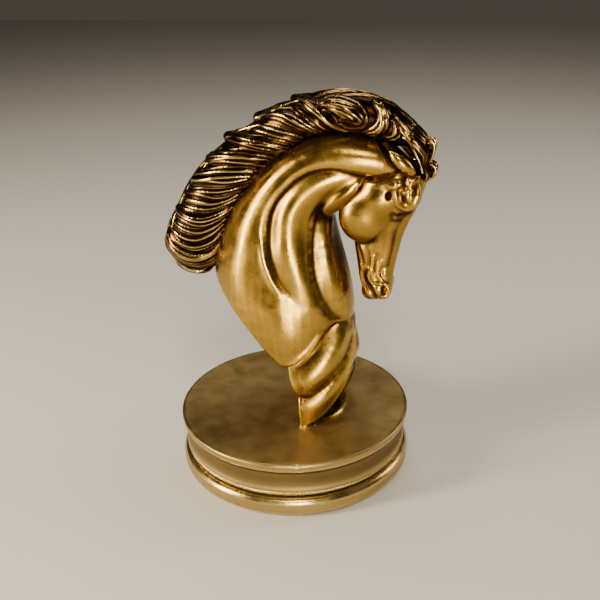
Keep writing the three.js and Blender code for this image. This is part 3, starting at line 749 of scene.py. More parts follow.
# %% Eye
TEMPLE_PIT = (33.5, 100.9)
pit_side = head.side_of_block(*TEMPLE_PIT) + 0.1
head.ball((TEMPLE_PIT[0], pit_side, TEMPLE_PIT[1]), (1.05, 1.0, 1.3), 0.5, carve=True)
ORBIT = ((38.8, 4.6, 100.4), (4.2, 4.2, 4.9))
SOCKET = ((39.2, 9.4, 100.4), (2.5, 1.9, 3.4))
EYEBALL = ((39.8, 6.3, 100.4), (1.8, 2.5, 2.9))
head.ball(*ORBIT, 1.0)
head.ball(*SOCKET, 0.5, carve=True)
head.ball(*EYEBALL, 0.2)
EYE_RIM = [(34.9, 103.4, 0.5), (35.3, 101.7, 0.8), (35.7, 99.6, 0.85), (36.2, 97.7, 0.75), (38, 96.5, 0.8),
           (39.7, 96.9, 0.75), (41.1, 98.4, 0.7), (42, 100.6, 0.6), (42.1, 102.8, 0.6), (41.4, 104.4, 0.5)]
head.roll(head.laid_on(EYE_RIM, 0.25)[::3], 0.6)
BACK_BROW = [(34, 103.6, 0.7), (35.6, 104, 1.0), (37.2, 104.8, 0.8)]
FRONT_BROW = [(39.8, 104.7, 0.8), (41, 105.5, 1.1), (41.8, 106.2, 0.8)]
head.roll(head.laid_on(BACK_BROW, 0.3)[::3], 0.8)
head.roll(head.laid_on(FRONT_BROW, 0.4)[::3], 0.7)
BETWEEN_BROWS = [(38.2, 106.4, 0.8), (38, 104.8, 1.3), (37.8, 103, 1.2), (37.1, 101.7, 0.6)]
UNDER_EYE = [(35, 95, 0.6), (36.8, 93.9, 1.6), (39.2, 94.2, 1.3)]
TEAR_LINE = [(33.8, 94.4, 0.5), (34.8, 92.6, 1.2), (36.9, 92.2, 1.0), (38.4, 93.2, 0.5)]
for line, width in ((BETWEEN_BROWS, 0.45), (UNDER_EYE, 0.7), (TEAR_LINE, 0.6)):
    head.crease(head.laid_on(line), width)
print("eye stands", round(head.side_of_block(39.8, 100.4), 2), "mm from the middle")

# %% [markdown]
# ## Nostril, mouth and veins
#
# The nostril is a flared ring round a hole. The mouth is one curved line between two soft lips, and veins
# and folds of skin run down into it. A hole through the mesh isn't needed, because a deep pit reads the
# same and keeps the skin closed: the ring is a roll, the pit is carved, and the lips are swells beside a
# crease.

# %% Nostril and mouth
NOSTRIL = (31.9, 67.9)
FLARE = (1.75, 0.25, 2.3)
NOSTRIL_SIDE = 4.5
NOSTRIL_PIT = [(31.9, 6, 66.9, 0.9), (32, 5.8, 68.1, 1.15), (31.8, 5.7, 69.1, 0.9)]
NOSTRIL_FLOOR = [(32.3, 4.6, 67.2, 0.5), (32.4, 4.6, 68.6, 0.5)]
nostril_ring = [(NOSTRIL[0] + FLARE[0] * math.cos(a), NOSTRIL_SIDE + FLARE[1] * math.cos(a),
                 NOSTRIL[1] + FLARE[2] * math.sin(a), 0.62) for a in np.linspace(0, 2 * math.pi, 11)]
head.roll(nostril_ring, 0.5)
head.roll(NOSTRIL_PIT, 0.3, carve=True)
head.roll(NOSTRIL_FLOOR, 0.3)
MOUTH = [(26, 74, 0.9), (25.4, 72.1, 2.0), (26.2, 69.8, 2.2), (27.9, 68.1, 2.2), (28.9, 66.2, 2.0),
         (29.4, 64, 1.4)]
UPPER_LIP = [(27.6, 74.2, 0.8), (26.9, 72.3, 1.0), (27.8, 70.6, 1.0), (29.4, 69, 0.9), (30, 66.6, 0.6)]
LOWER_LIP = [(24.6, 75.4, 0.6), (24.1, 72.4, 0.8), (24.9, 69.4, 0.8), (26.4, 67.2, 0.8), (27.6, 65.4, 0.6)]
head.crease(head.laid_on(MOUTH), 0.5)
for lip in (UPPER_LIP, LOWER_LIP):
    head.swell(head.laid_on(lip, 0.3), 0.7)
print("nostril ring is", 2 * FLARE[2], "mm tall, the mouth has", len(MOUTH), "points")

# %% Veins and skin folds
VEINS = [([(28.4, 79.5, 0.3), (28.1, 76.5, 0.9), (27.9, 74.4, 0.8), (28.6, 71.6, 0.3)], 0.5),
         ([(30.8, 78, 0.3), (30, 75.4, 0.9), (29.9, 73.2, 0.9), (31.2, 71.4, 0.5)], 0.6),
         ([(32.6, 75.4, 0.3), (32, 73.4, 0.8), (32.4, 71.6, 0.6)], 0.6)]
for vein, width in VEINS:
    head.swell(head.laid_on(vein), width)
SKIN_FOLDS = [[(23.3, 82, 0.4), (24.4, 78.5, 0.7), (25.2, 76, 0.5)],
              [(26.5, 82.4, 0.4), (26.8, 78.8, 0.7), (26.6, 76, 0.6)],
              [(29.6, 80, 0.4), (29, 76.8, 0.6), (29, 74, 0.6)]]
for fold in SKIN_FOLDS:
    head.crease(head.laid_on(fold), 0.4)
print(len(VEINS), "veins and", len(SKIN_FOLDS), "folds on each side")

# %% Paint shade on and fire the head
# Painted shade: darker in the temple pit, on both sides of the eyeball, between the brows, under the eye,
# along the tear line, under the cheek, in the nostril and the mouth, along the seam below the ear and down
# the nose groove.
HEAD_SHADE_STROKES = [
    [(33.5, 101.5, 0.9, 0.5), (33.5, 100.3, 0.9, 0.5)],
    [(37, 102, 0.6, 0.35), (37.6, 100.3, 0.7, 0.45), (37.7, 98.6, 0.7, 0.4)],
    [(38.1, 106, 0.6, 0.3), (38, 104.4, 0.6, 0.35), (37.8, 102.8, 0.6, 0.3)],
    [(41, 103.2, 0.5, 0.3), (41.5, 101.4, 0.5, 0.3)],
    [(35, 94.9, 0.9, 0.35), (37, 94, 1.0, 0.35), (39.2, 94.4, 1.0, 0.3)],
    [(34.4, 92.4, 0.8, 0.25), (36.6, 91.8, 0.8, 0.2)],
    [(21.4, 84, 1.1, 0.15), (25, 83.2, 1.1, 0.2), (28.6, 85.2, 1.1, 0.2)],
    [(31.9, 67, 0.8, 0.5), (31.9, 69, 0.8, 0.45)],
    [(26, 73.4, 0.7, 0.3), (25.7, 71, 0.7, 0.4), (27.4, 68.4, 0.7, 0.4), (28.8, 65.8, 0.7, 0.3)],
    [(30, 105.4, 1.0, 0.25), (35, 108.4, 1.6, 0.5), (39, 109, 1.8, 0.5)],
    [(34.5, 88, 0.8, 0.12), (33.8, 82, 0.8, 0.15), (32.6, 76.5, 0.8, 0.15)],
]
head_piece = fired(head, "head", 0.8, shade_strokes=HEAD_SHADE_STROKES)
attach(head_piece, "root")
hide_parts("head_casting")

# %% [markdown]
# ## The ears
#
# The ears are laid back along the mane. Each is a pointed leaf with a cup along its inner front. A leaf
# could be a bent sheet, but the real ones are thick castings, so each is a tapered roll with a second roll
# carved out of it. The right one is the left one's mirror image.

# %% Ears
EAR_CELL = 0.2
EAR_LEAF = [(33.7, 8.9, 114.4, 0.4), (34.8, 9.1, 113.3, 1.2), (36.3, 9.1, 112, 1.75), (37.9, 8.8, 110.5, 1.9),
            (39.1, 8.2, 109.3, 1.6), (40, 7.3, 108.2, 1.1)]
EAR_CUP = [(35.6, 7.8, 114.8, 0.4), (37.5, 7.6, 113.5, 0.95), (39.3, 7.2, 111.8, 1.05),
           (40.6, 6.6, 110.2, 0.6)]
ear_pieces = []
ear = Clay((30, 4, 103), (44, 13, 117), EAR_CELL, whole=True)
ear.roll(EAR_LEAF, 0.3)
ear.roll(EAR_CUP, 0.4, carve=True)
for side, mirrored in (("left", False), ("right", True)):
    piece = fired(ear, "ear_leaf_" + side, 0.6, mirrored)
    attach(piece, "root")
    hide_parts("ear_" + side)
    ear_pieces.append(piece)

# %% [markdown]
# ## The mane
#
# The mane is a thick roll of hair along the crest, cut into locks, each combed into raised strands.
# Blender's own hair would be loose fibres, and this hair is cast metal. So first the bulk goes down: a
# lofted core and the fat body of every lock, which bulges the core's side.

# %% Bulk of the mane
MANE_CELL = 0.3
MANE = [
    (40, 120.5, 36.5, 114, 4.2),
    (35.5, 124.6, 32.5, 114.5, 5.6),
    (30, 128, 27, 116, 6.2),
    (22, 130, 20.5, 117, 6.6),
    (13, 130, 14, 117, 6.8),
    (4, 127.3, 7.5, 114.5, 6.9),
    (-5, 122.8, 0.5, 110, 6.9),
    (-14, 117.3, -5, 105, 6.9),
    (-23.2, 110.9, -10.5, 98.5, 6.9),
    (-31.2, 102.7, -15, 92, 6.9),
    (-36.7, 93.9, -18, 86, 6.7),
    (-41.2, 86, -20.5, 80.5, 6.4),
    (-43.4, 78.4, -23, 75, 5.8),
    (-41, 73.4, -27, 70.7, 4.6),
]
mane_half = Clay((-46.8, 0, 66), (44.5, 11, 133.5), MANE_CELL)
mane_half.loft(MANE, rings=80)
LOCK_BODIES = [
    [(-41.4, 84, 0.8), (-39.6, 79.5, 2.0), (-34, 75.6, 2.4), (-27.5, 75.5, 1.8), (-23.6, 79, 1.0)],
    [(-36.5, 91.5, 1.6), (-29.5, 89.5, 2.2), (-22.5, 91.5, 1.8), (-18.5, 94, 1.2)],
    [(-30, 101.5, 1.6), (-22, 102.5, 2.2), (-13, 103.6, 1.8), (-9, 104, 1.2)],
    [(-25, 108.5, 1.6), (-17, 110, 2.1), (-8, 110, 1.6)],
    [(-18.8, 115.3, 1.8), (-12.5, 115.2, 2.3), (-5, 114.6, 2.1), (2.6, 113.6, 1.3)],
    [(-8.5, 121.6, 1.9), (-1.5, 123, 2.4), (6, 121.5, 2.2), (12.8, 119, 1.3)],
    [(3, 127.6, 1.4), (8.4, 126.6, 2.0), (13.4, 123.9, 2.0), (18, 120.6, 1.2)],
    [(13.8, 127.2, 1.4), (18, 126, 2.4), (22.4, 123.8, 2.4), (24.6, 122.6, 1.4)],
    [(28, 127.2, 1.3), (30.9, 124.8, 1.9), (30.8, 121.8, 1.8), (27.8, 119.8, 1.2)],
    [(34, 123, 1.3), (37.4, 120, 1.6), (39.2, 116.4, 1.3)],
]
for body in LOCK_BODIES:
    mane_half.roll(mane_half.laid_on(body, 1.0)[::2], 1.0)
mane = mane_half.doubled()
print("mane has a core and", len(LOCK_BODIES), "locks on each side")

# %% [markdown]
# ## Combing
#
# A strand is a thin roll laid over the bulk, between the two edges of a lock. Each has its own start, end,
# thickness, sway and sink, so that the dark bulk shows between them and no two look alike. The strands are
# combed over the uncombed half, so that one strand doesn't climb on another. Both sides follow the same
# edges, with different random numbers from one fixed seed.

# %% The comb
COMBING_SEED = 52
EDGE_POINTS = 10
FINE_POINTS = 60
STRAND_POINTS = 9
TIP_SHARE = 0.35
SPINE_BARE = 0.8
combing = np.random.default_rng(COMBING_SEED)


def evenly(points, count):
    """The same smooth path, as points spaced evenly along it."""
    path = flowing(points)
    along = np.concatenate([[0], np.cumsum(np.linalg.norm(np.diff(path, axis=0), axis=1))])
    places = np.linspace(0, along[-1], count)
    return np.stack([np.interp(places, along, column) for column in path.T], 1)


def comb(upper, lower, count, thick, trims=0.12):
    """Lays strands over both sides of the mane, between an upper and a lower edge in side view."""
    a, b = evenly(upper, EDGE_POINTS), evenly(lower, EDGE_POINTS)
    for side in (-1, 1):
        for number in range(count):
            share = (number + 0.5 + combing.uniform(-0.3, 0.3)) / count
            start = combing.uniform(0, trims)
            end = 1 - combing.uniform(0, trims)
            line = evenly(a * (1 - share) + b * share, FINE_POINTS)
            line = line[int(FINE_POINTS * start):int(FINE_POINTS * end)]
            line = line[np.linspace(0, len(line) - 1, STRAND_POINTS).astype(int)]
            wave = combing.uniform(-0.35, 0.35, 2)
            radius = thick * combing.uniform(0.6, 1.1)
            sink = radius * combing.uniform(-0.35, 0.25)
            points = []
            for step, (x, z) in enumerate(line):
                t = step / (STRAND_POINTS - 1)
                sway = wave[0] * math.sin(math.pi * t) + wave[1] * math.sin(2 * math.pi * t)
                across = mane_half.side_of_block(x, z + sway) - sink
                if across < SPINE_BARE:
                    continue
                fat = TIP_SHARE + (1 - TIP_SHARE) * math.sin(math.pi * min(max(t, 0.04), 0.96)) ** 0.6
                points.append((x, side * across, z + sway, radius * fat))
            if len(points) > 2:
                mane.roll(points, 0.25)


print("seed", COMBING_SEED, "combs both sides")

# %% Comb the tail end and the middle
BULB_OUT = [(-43.4, 84.5), (-43, 79), (-40.6, 74.4), (-36.8, 70.8), (-31.6, 68.8), (-27, 69.6), (-23.6, 73),
            (-21.8, 78)]
BULB_IN = [(-41.8, 90.5), (-40.8, 87.2), (-37.4, 84.4), (-30.8, 83), (-24.8, 85.3), (-19.2, 89.6)]
FLANK_1 = [(-37.5, 96), (-34.7, 96.4), (-28.3, 96.4), (-22.2, 96.3), (-17, 97.7), (-12.6, 100)]
FLANK_2 = [(-31.4, 104.4), (-24.1, 107), (-17.6, 108.4), (-11.1, 108.4), (-5.6, 107.2)]
FLANK_3 = [(-24.8, 111.4), (-17.9, 112.4), (-11.5, 112.6), (-5.6, 111.6), (-1, 110.4)]
LOCK_5 = [(-19.6, 115.4), (-16.2, 117.4), (-11, 117.2), (-4, 116.4), (2, 115.2), (5.4, 113.4)]
LOCK_6_LOW = [(-16.5, 117.4), (-11, 119.6), (-4, 120.2), (1.6, 119.4), (6, 117.9), (9, 116.6)]
LOCK_6_TOP = [(-9.4, 121.8), (-4.6, 124.2), (1, 125.6), (5, 125), (9.8, 122.1), (12.9, 119.6), (16.2, 117.9)]
LOCK_7_TOP = [(-1.6, 126.2), (1.6, 127.6), (5.7, 128.6), (9.6, 127.4), (13.7, 124.6), (16.4, 121.9),
              (20.6, 119.4)]
comb(BULB_IN, BULB_OUT, 14, 0.56)
comb(FLANK_1, BULB_IN, 10, 0.52)
comb(FLANK_2, FLANK_1, 10, 0.5)
comb(FLANK_3, FLANK_2, 5, 0.5)
comb(LOCK_5, FLANK_3, 6, 0.5)
comb(LOCK_6_LOW, LOCK_5, 4, 0.5)
comb(LOCK_6_TOP, LOCK_6_LOW, 7, 0.58)
comb(LOCK_7_TOP, LOCK_6_TOP, 4, 0.56)
print("combed from the tail end up to x =", LOCK_7_TOP[-1][0])

# %% Comb the whorl and the locks behind the ear
RIDGE = [(5.4, 127.4), (7.7, 126.8), (10.7, 125.6), (13.7, 123.4), (16.2, 121.2), (18.4, 120), (20.6, 119.5)]
WHORL = [(9.8, 127), (12.4, 128.6), (16, 129.2), (20.3, 128.6), (23.6, 127.6), (26.2, 125.5),
         (26.9, 123.4), (25.6, 121.2), (22.9, 119.9), (19.8, 119.8), (16.8, 121.7)]
WHORL_HEART = [(13.4, 126.8), (17, 126.6), (20.4, 125.6), (23, 124.2), (24.4, 123.2), (23.8, 122.4),
               (21.6, 122.6), (18.4, 124.2)]
comb(RIDGE, [(x, z - 1) for x, z in RIDGE], 1, 1.05, trims=0.02)
comb(WHORL, WHORL_HEART, 8, 0.5, trims=0.06)
HEART_TOP = [(13.2, 127.6), (18, 126.4), (23, 123.6)]
HEART_LOW = [(13, 125.8), (17, 124.8), (21.4, 122.6)]
comb(HEART_TOP, HEART_LOW, 5, 0.42)
CURVE_IN = [(27.2, 128.6), (29, 126.6), (29.6, 124), (29, 121.6), (27, 120), (24.6, 119.2)]
CURVE_OUT = [(30.4, 127.8), (32.2, 125.2), (32.8, 122), (31.6, 119.4), (28.6, 117.8), (25.6, 117.6)]
comb(CURVE_IN, CURVE_OUT, 5, 0.5)
SMALL_IN = [(33, 123.6), (34.2, 121), (33.6, 119), (31.4, 118)]
SMALL_OUT = [(35, 122.6), (36.6, 119.4), (35.4, 116.9), (32, 116.2), (29.8, 116.6)]
comb(SMALL_IN, SMALL_OUT, 4, 0.48)
FRONT_TOP = [(34, 125), (37.2, 121.8), (39.6, 118)]
FRONT_LOW = [(35.4, 121), (37.4, 118.2), (38.2, 115.6)]
comb(FRONT_TOP, FRONT_LOW, 4, 0.5)
print("combed up to the forelock")

# %% [markdown]
# ## The spine of the mane
#
# Seen from above and behind, the strands of the two sides meet along the crest. A side view can't place
# strands there, because the surface faces upwards, so these follow the loft itself: a share of the way
# along it, and an angle round it.

# %% Comb the spine
def on_loft(stations, along, angle):
    """A point on a loft: along it from 0 to 1, and round it from its outer edge, in degrees."""
    path = flowing(stations, 12)
    row = [np.interp(along, np.linspace(0, 1, len(path)), column) for column in path.T]
    turn = math.radians(angle)
    half = (1 + math.cos(turn)) / 2
    return (row[2] + (row[0] - row[2]) * half, row[4] * math.sin(turn), row[3] + (row[1] - row[3]) * half)


SPINE_STRANDS = 54
for number in range(SPINE_STRANDS):
    along = 0.02 + 0.97 * (number + combing.uniform(-0.4, 0.4)) / SPINE_STRANDS
    reach = combing.uniform(0.1, 0.17)
    angle = combing.uniform(-22, 22)
    sweep = combing.choice((-1, 1)) * combing.uniform(12, 34)
    radius = 0.6 * combing.uniform(0.7, 1.2)
    strand = []
    for t in np.linspace(0, 1, 7):
        x, y, z = on_loft(MANE, min(max(along + reach * (t - 0.5), 0), 1), angle + sweep * t ** 2)
        strand.append((x, y, z, radius * (0.4 + 0.6 * math.sin(math.pi * min(max(t, 0.05), 0.95)))))
    mane.roll(strand, 0.3)
mane_piece = fired(mane, "mane", 0.6)
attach(mane_piece, "root")
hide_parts("crest_mane")

# %% [markdown]
# ## The forelock
#
# The last lock falls between the ears and breaks into two curls over the brow, one above the other. Like
# the mane it is a lofted bulk with strands laid along it. The curls stand out in front of it, so they are
# rolls with points chosen in side view, the same on both sides, with bars of metal across to join each
# pair.

# %% Forelock
FORELOCK_CELL = 0.26
FORELOCK = [
    (38, 122, 36, 115.5, 4.6),
    (42, 118.8, 38.6, 112.5, 5.2),
    (45, 114.8, 40.4, 109.8, 4.7),
    (44.5, 110.8, 41.2, 107.4, 4.3),
    (45.7, 107.2, 42, 105.4, 3.8),
    (44.4, 104, 42.6, 103.2, 2.8),
]
FORELOCK_STRANDS = 30
FORELOCK_WRAP = 105
lock = Clay((33, -8.5, 100.5), (49.5, 8.5, 125), FORELOCK_CELL, whole=True)
lock.loft(FORELOCK)
for number in range(FORELOCK_STRANDS):
    spread = (number + combing.uniform(-0.3, 0.3)) / (FORELOCK_STRANDS - 1)
    angle = FORELOCK_WRAP * (2 * spread - 1)
    start, end = combing.uniform(0, 0.15), combing.uniform(0.72, 1)
    radius = 0.44 * combing.uniform(0.7, 1.2)
    wave = combing.uniform(-14, 14)
    strand = []
    for t in np.linspace(0, 1, 8):
        x, y, z = on_loft(FORELOCK, start + (end - start) * t, angle * (1 - 0.3 * t) + wave * math.sin(5 * t))
        strand.append((x, y, z, radius * (1 - 0.55 * t)))
    lock.roll(strand, 0.3)
print(FORELOCK_STRANDS, "strands round the forelock")

# %% Curls
LONG_STRAND = [(36, 121.2, 0.3), (37.4, 119.6, 0.5), (38.6, 117.2, 0.55), (39.8, 114.8, 0.55),
               (41, 112.4, 0.55), (42.2, 110, 0.5), (42.9, 107.4, 0.35)]
UPPER_CURL = [(42, 112.6, 0.35), (42.5, 113.9, 0.5), (43.3, 115.2, 0.55), (44.6, 116.2, 0.6),
              (45.7, 115.8, 0.6), (45.9, 114.2, 0.6), (45.4, 112, 0.55), (44.6, 109.9, 0.4)]
UPPER_CURL_HEART = [(43.2, 111.4, 0.35), (43.7, 113, 0.5), (44.4, 114.6, 0.45), (44.9, 114.9, 0.3)]
LOWER_CURL = [(43, 108, 0.35), (44, 109, 0.5), (45.4, 109.3, 0.55), (46.5, 108.3, 0.6), (46.5, 106.7, 0.6),
              (45.5, 105.3, 0.55), (44.3, 105, 0.5), (43.5, 106, 0.45), (44.1, 107.2, 0.4), (45, 107.2, 0.3)]
for side, shift in ((-1, 0), (1, 0.35)):
    lock.roll([(x, side * 4.9, z + shift, r) for x, z, r in LONG_STRAND], 0.3)
    for curl, out in ((UPPER_CURL, 2.9), (UPPER_CURL_HEART, 3.2), (LOWER_CURL, 2.7)):
        lock.roll([(x - 0.3 * shift, side * out, z - shift, r) for x, z, r in curl], 0.3)
CURL_BARS = ((44.6, 113), (45, 107.2))
for x, z in CURL_BARS:
    lock.roll([(x, -2.4, z, 0.9), (x + 0.5, 0, z, 1.0), (x, 2.4, z, 0.9)], 0.5)
lock_piece = fired(lock, "forelock_curls", 0.6)
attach(lock_piece, "root")
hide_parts("forelock")

# %% [markdown]
# ## The base
#
# The base is turned: a flange with a rolled edge, a milled bead ring, and a drum with a waist and a lip.
# The Screw modifier could spin an outline, but here each point also has to move a little for wear, so a
# small lathe function spins the profile round the upright axis and lets a relief function shift it. Each
# ring of points knows how hollow its profile is, for the patina in the hollows and a bright tone on the
# edges, which is partly a painted highlight.

# %% Turning tools
TURNED_STEPS = 360
POLE = 3


def quarter(r, z, radius, start, end, steps=6):
    """Points of an arc about [r, z], from one angle to another, in degrees."""
    angles = np.radians(np.linspace(start, end, steps + 1))
    return [(r + radius * math.cos(a), z + radius * math.sin(a)) for a in angles]


def spaced(profile, step):
    """The profile with extra points wherever two are further apart than step."""
    made = []
    for (ar, az), (br, bz) in zip(profile, profile[1:] + profile[:1]):
        pieces = max(1, math.ceil(math.hypot(br - ar, bz - az) / step))
        made += [(ar + (br - ar) * i / pieces, az + (bz - az) * i / pieces) for i in range(pieces)]
    return made


def turned(name, profile, relief=None, steps=TURNED_STEPS):
    """A lathe: the closed profile [radius, height] in mm is spun round the upright axis."""
    rings = len(profile)
    turn = np.linspace(0, 2 * math.pi, steps, endpoint=False)
    r, z = (np.array(column)[None, :] + 0 * turn[:, None] for column in zip(*profile))
    angle = turn[:, None] + 0 * r
    if relief:
        r, z = relief(r, z, angle)
    points = np.stack([r * np.cos(angle), r * np.sin(angle), z], 2).reshape(-1, 3) * MM
    faces = []
    for i in range(steps):
        a, b = i * rings, (i + 1) % steps * rings
        faces += [(a + k, b + k, b + (k + 1) % rings, a + (k + 1) % rings) for k in range(rings)]
    mesh = bpy.data.meshes.new(name)
    mesh.from_pydata(points.tolist(), [], faces)
    outline = np.array(profile)
    before, after = np.roll(outline, 2, 0), np.roll(outline, -2, 0)
    middle = (before + after) / 2
    run = after - before
    facing = np.stack([run[:, 1], -run[:, 0]], 1)
    facing /= np.maximum(np.linalg.norm(run, axis=1, keepdims=True), 1e-6)
    hollow = np.clip(((middle - outline) * facing).sum(1), -0.5, 0.5) * (outline[:, 0] > POLE)
    mesh.attributes.new("hollow", "FLOAT", "POINT").data.foreach_set(
        "value", np.tile(hollow, steps).astype(np.float32))
    mesh.shade_smooth()
    made = bpy.data.objects.new(name, mesh)
    bpy.context.scene.collection.objects.link(made)
    merge = bmesh.new()
    merge.from_mesh(mesh)
    bmesh.ops.remove_doubles(merge, verts=merge.verts, dist=1e-6)
    bmesh.ops.dissolve_degenerate(merge, edges=merge.edges, dist=1e-7)
    bmesh.ops.recalc_face_normals(merge, faces=merge.faces)
    merge.to_mesh(mesh)
    merge.free()
    print(name, len(mesh.polygons), "faces")
    return made


def ripples(x, y, seed, wavelength, count=14):
    """Smooth unevenness, from minus one to one, as a sum of a few waves in random directions."""
    chance = np.random.default_rng(seed)
    total = 0
    for _ in range(count):
        heading = chance.uniform(0, 2 * math.pi)
        length = wavelength * chance.uniform(0.6, 1.6)
        total = total + np.sin((x * math.cos(heading) + y * math.sin(heading)) * 2 * math.pi / length
                               + chance.uniform(0, 2 * math.pi))
    return total / count * 1.6


print("the lathe has", TURNED_STEPS, "steps to a turn")

# %% [markdown]
# ## Drum
#
# The drum's sizes come from the CAD boxes. A cast and turned drum isn't perfect: the real top is very
# slightly wavy and dished, with a few pits near its left edge, and the lip has a nick in front. A bump map
# could fake those, but the nick shows in the outline, so the points themselves are moved.

# %% Sizes of the base
drum_low, drum_high = (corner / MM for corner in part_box("base_drum"))
bead_low, bead_high = (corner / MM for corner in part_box("bead_ring"))
flange_low, flange_high = (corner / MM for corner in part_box("base_flange"))
LIP_TALL = 3.4
LIP_ROUND = 0.9
WAIST_INSET = 1.0
WAIST_HOLLOW = 0.55
SPIGOT_RADIUS = 34.3
SPIGOT_TOP = 11.7
DRUM_SEAT = 12.0
drum_radius = drum_high.x
top = drum_high.z
wall_low = bead_high.z + 0.1
lip_low = top - LIP_TALL
waist = drum_radius - WAIST_INSET
print("drum", round(2 * drum_radius, 2), "mm across, its lip from", round(lip_low, 2), "to", round(top, 2))

# %% Drum
PITS = [(-17.5, -30.5, 0.6, 0.35), (-16.2, -31.6, 0.45, 0.3), (-18.6, -29.2, 0.4, 0.25),
        (-20, -31, 0.35, 0.2), (12.5, -20, 0.5, 0.25), (9.5, -23, 0.6, -0.2), (12, -24.5, 0.4, -0.22),
        (20.5, -14, 0.7, 0.15)]
NICK = (10.2, -39.1, 0.8, 0.9)


def worn_drum(r, z, angle):
    """Waves and dishes the drum's top, presses its pits and its nick, and roughens its wall."""
    x, y = r * np.cos(angle), r * np.sin(angle)
    flat = np.clip((z - (top - 0.5)) / 0.4, 0, 1)
    z = z + flat * 0.03 * ripples(x, y, 3, 17) + flat * 0.016 * ripples(x, y, 4, 4)
    z = z - flat * 0.14 * np.clip((r - 10) / 26, 0, 1) ** 2
    for px, py, size, depth in PITS:
        z = z - flat * depth * np.exp(-((x - px) ** 2 + (y - py) ** 2) / size ** 2)
    away = (x - NICK[0]) ** 2 + (y - NICK[1]) ** 2 + (z - top) ** 2
    r = r - NICK[3] * np.exp(-away / NICK[2] ** 2)
    side = np.clip((top - 0.6 - z) / 0.6, 0, 1)
    r = r + side * 0.05 * ripples(angle * 40, z * 2, 6, 30)
    return r, z


drum_profile = [(0.0, DRUM_SEAT), (SPIGOT_RADIUS, DRUM_SEAT), (SPIGOT_RADIUS, wall_low),
                (waist - 0.3, wall_low), *quarter(waist - 0.5, wall_low + 0.5, 0.5, -50, 0, 3)]
for share in np.linspace(0.1, 1, 9):
    drum_profile.append((waist - WAIST_HOLLOW * math.sin(math.pi * share),
                         wall_low + 0.5 + (lip_low - wall_low - 0.7) * share))
drum_profile += [(waist + 0.1, lip_low - 0.1), (drum_radius - 0.5, lip_low + 0.25),
                 (drum_radius - 0.25, lip_low + 0.8), (drum_radius - 0.08, lip_low + 1.6),
                 *quarter(drum_radius - LIP_ROUND, top - LIP_ROUND, LIP_ROUND, 0, 90, 8), (0.0, top)]
drum = turned("drum", spaced(drum_profile, 0.9), worn_drum)


# %% [markdown]
# ## Bead ring and flange
#
# A thin ring with fine milling shines between the drum and the flange. A wave round its edge cuts the
# milling, with four points of the lathe to each notch. The flange's edge is rolled above and below, and a
# groove over it makes the dark line under the bead.

# %% Bead ring
MILLING = 288
MILLING_DEPTH = 0.14


def milled(r, z, angle):
    """Cuts fine notches round the outer edge of the bead."""
    edge = np.clip((r - (bead_high.x - 0.6)) / 0.5, 0, 1)
    return r + edge * MILLING_DEPTH * (np.cos(MILLING * angle) - 1), z


bead_middle = (bead_low.z + bead_high.z) / 2
bead_round = (bead_high.z - bead_low.z) / 2
bead_profile = [(SPIGOT_RADIUS + 0.1, bead_low.z + 0.02),
                *quarter(bead_high.x - bead_round, bead_middle, bead_round - 0.02, -90, 90, 10),
                (SPIGOT_RADIUS + 0.1, bead_high.z - 0.02)]
bead = turned("milled_bead", spaced(bead_profile, 1.5), milled, steps=MILLING * 4)

# %% Flange
FLANGE_ROUND = 2.4
GROOVE_INSET = 2.6
GROOVE_TALL = 0.8
RECESS_TOP = 1.7
flange_top = bead_low.z - GROOVE_TALL


def worn_flange(r, z, angle):
    """Makes the rolled edge slightly uneven."""
    x, y = r * np.cos(angle), r * np.sin(angle)
    return r + 0.05 * ripples(angle * 40, z * 3, 8, 26), z + 0.03 * ripples(x, y, 9, 12) * (z > 4)


felt_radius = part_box("felt_pad")[1].x / MM
spigot, flange_edge = SPIGOT_RADIUS - 0.2, flange_high.x - FLANGE_ROUND
groove, seat = flange_high.x - GROOVE_INSET, bead_low.z - 0.02
recess = felt_radius + 0.2
flange_profile = [(0.0, RECESS_TOP), (recess, RECESS_TOP), (recess, flange_low.z + 0.05),
                  *quarter(flange_edge, flange_low.z + FLANGE_ROUND, FLANGE_ROUND, -90, 0, 8),
                  *quarter(flange_edge, flange_top - FLANGE_ROUND, FLANGE_ROUND, 0, 90, 8),
                  (groove, flange_top), (groove, seat),
                  (spigot, seat), (spigot, SPIGOT_TOP), (0.0, SPIGOT_TOP)]
flange = turned("flange", spaced(flange_profile, 0.9), worn_flange)
for piece, node in ((drum, "base_drum"), (bead, "bead_ring"), (flange, "base_flange")):
    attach(piece, "root")
    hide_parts(node)

# %% [markdown]
# ## Felt
#
# A pad of felt under the base keeps it from scratching a table. It is a thin disc from the same lathe. Its
# edge is cut by hand and never quite round, and its faces are slightly matted.

# %% Felt
FELT_TOP = 1.6
FELT_ROUND = 0.3
FELT_EDGE_INSET = 0.4


def matted(r, z, angle):
    """Makes the felt's cut edge and its upper face uneven."""
    x, y = r * np.cos(angle), r * np.sin(angle)
    matted_z = z + 0.05 * ripples(x, y, 12, 1.6) * (z > 0.1)
    return r + 0.1 * ripples(angle * 36, z, 11, 1.2), np.maximum(matted_z, 0)


felt_edge = felt_radius - FELT_EDGE_INSET
felt_profile = [(0.0, 0.0), *quarter(felt_edge, FELT_ROUND, FELT_ROUND, -90, 0, 3),
                *quarter(felt_edge, FELT_TOP - FELT_ROUND, FELT_ROUND, 0, 90, 3), (0.0, FELT_TOP)]
felt = turned("felt_disc", spaced(felt_profile, 0.8), matted)
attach(felt, "root")
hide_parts("felt_pad")

# %% [markdown]
# ## Finishes
#
# The finishes are built from a few shader nodes, made by script so that each value has its place: noise
# that is fixed to the piece, a ramp that turns a number into a colour, and a bump. Pictures of metal would
# show their seams and their own light; noise has neither.

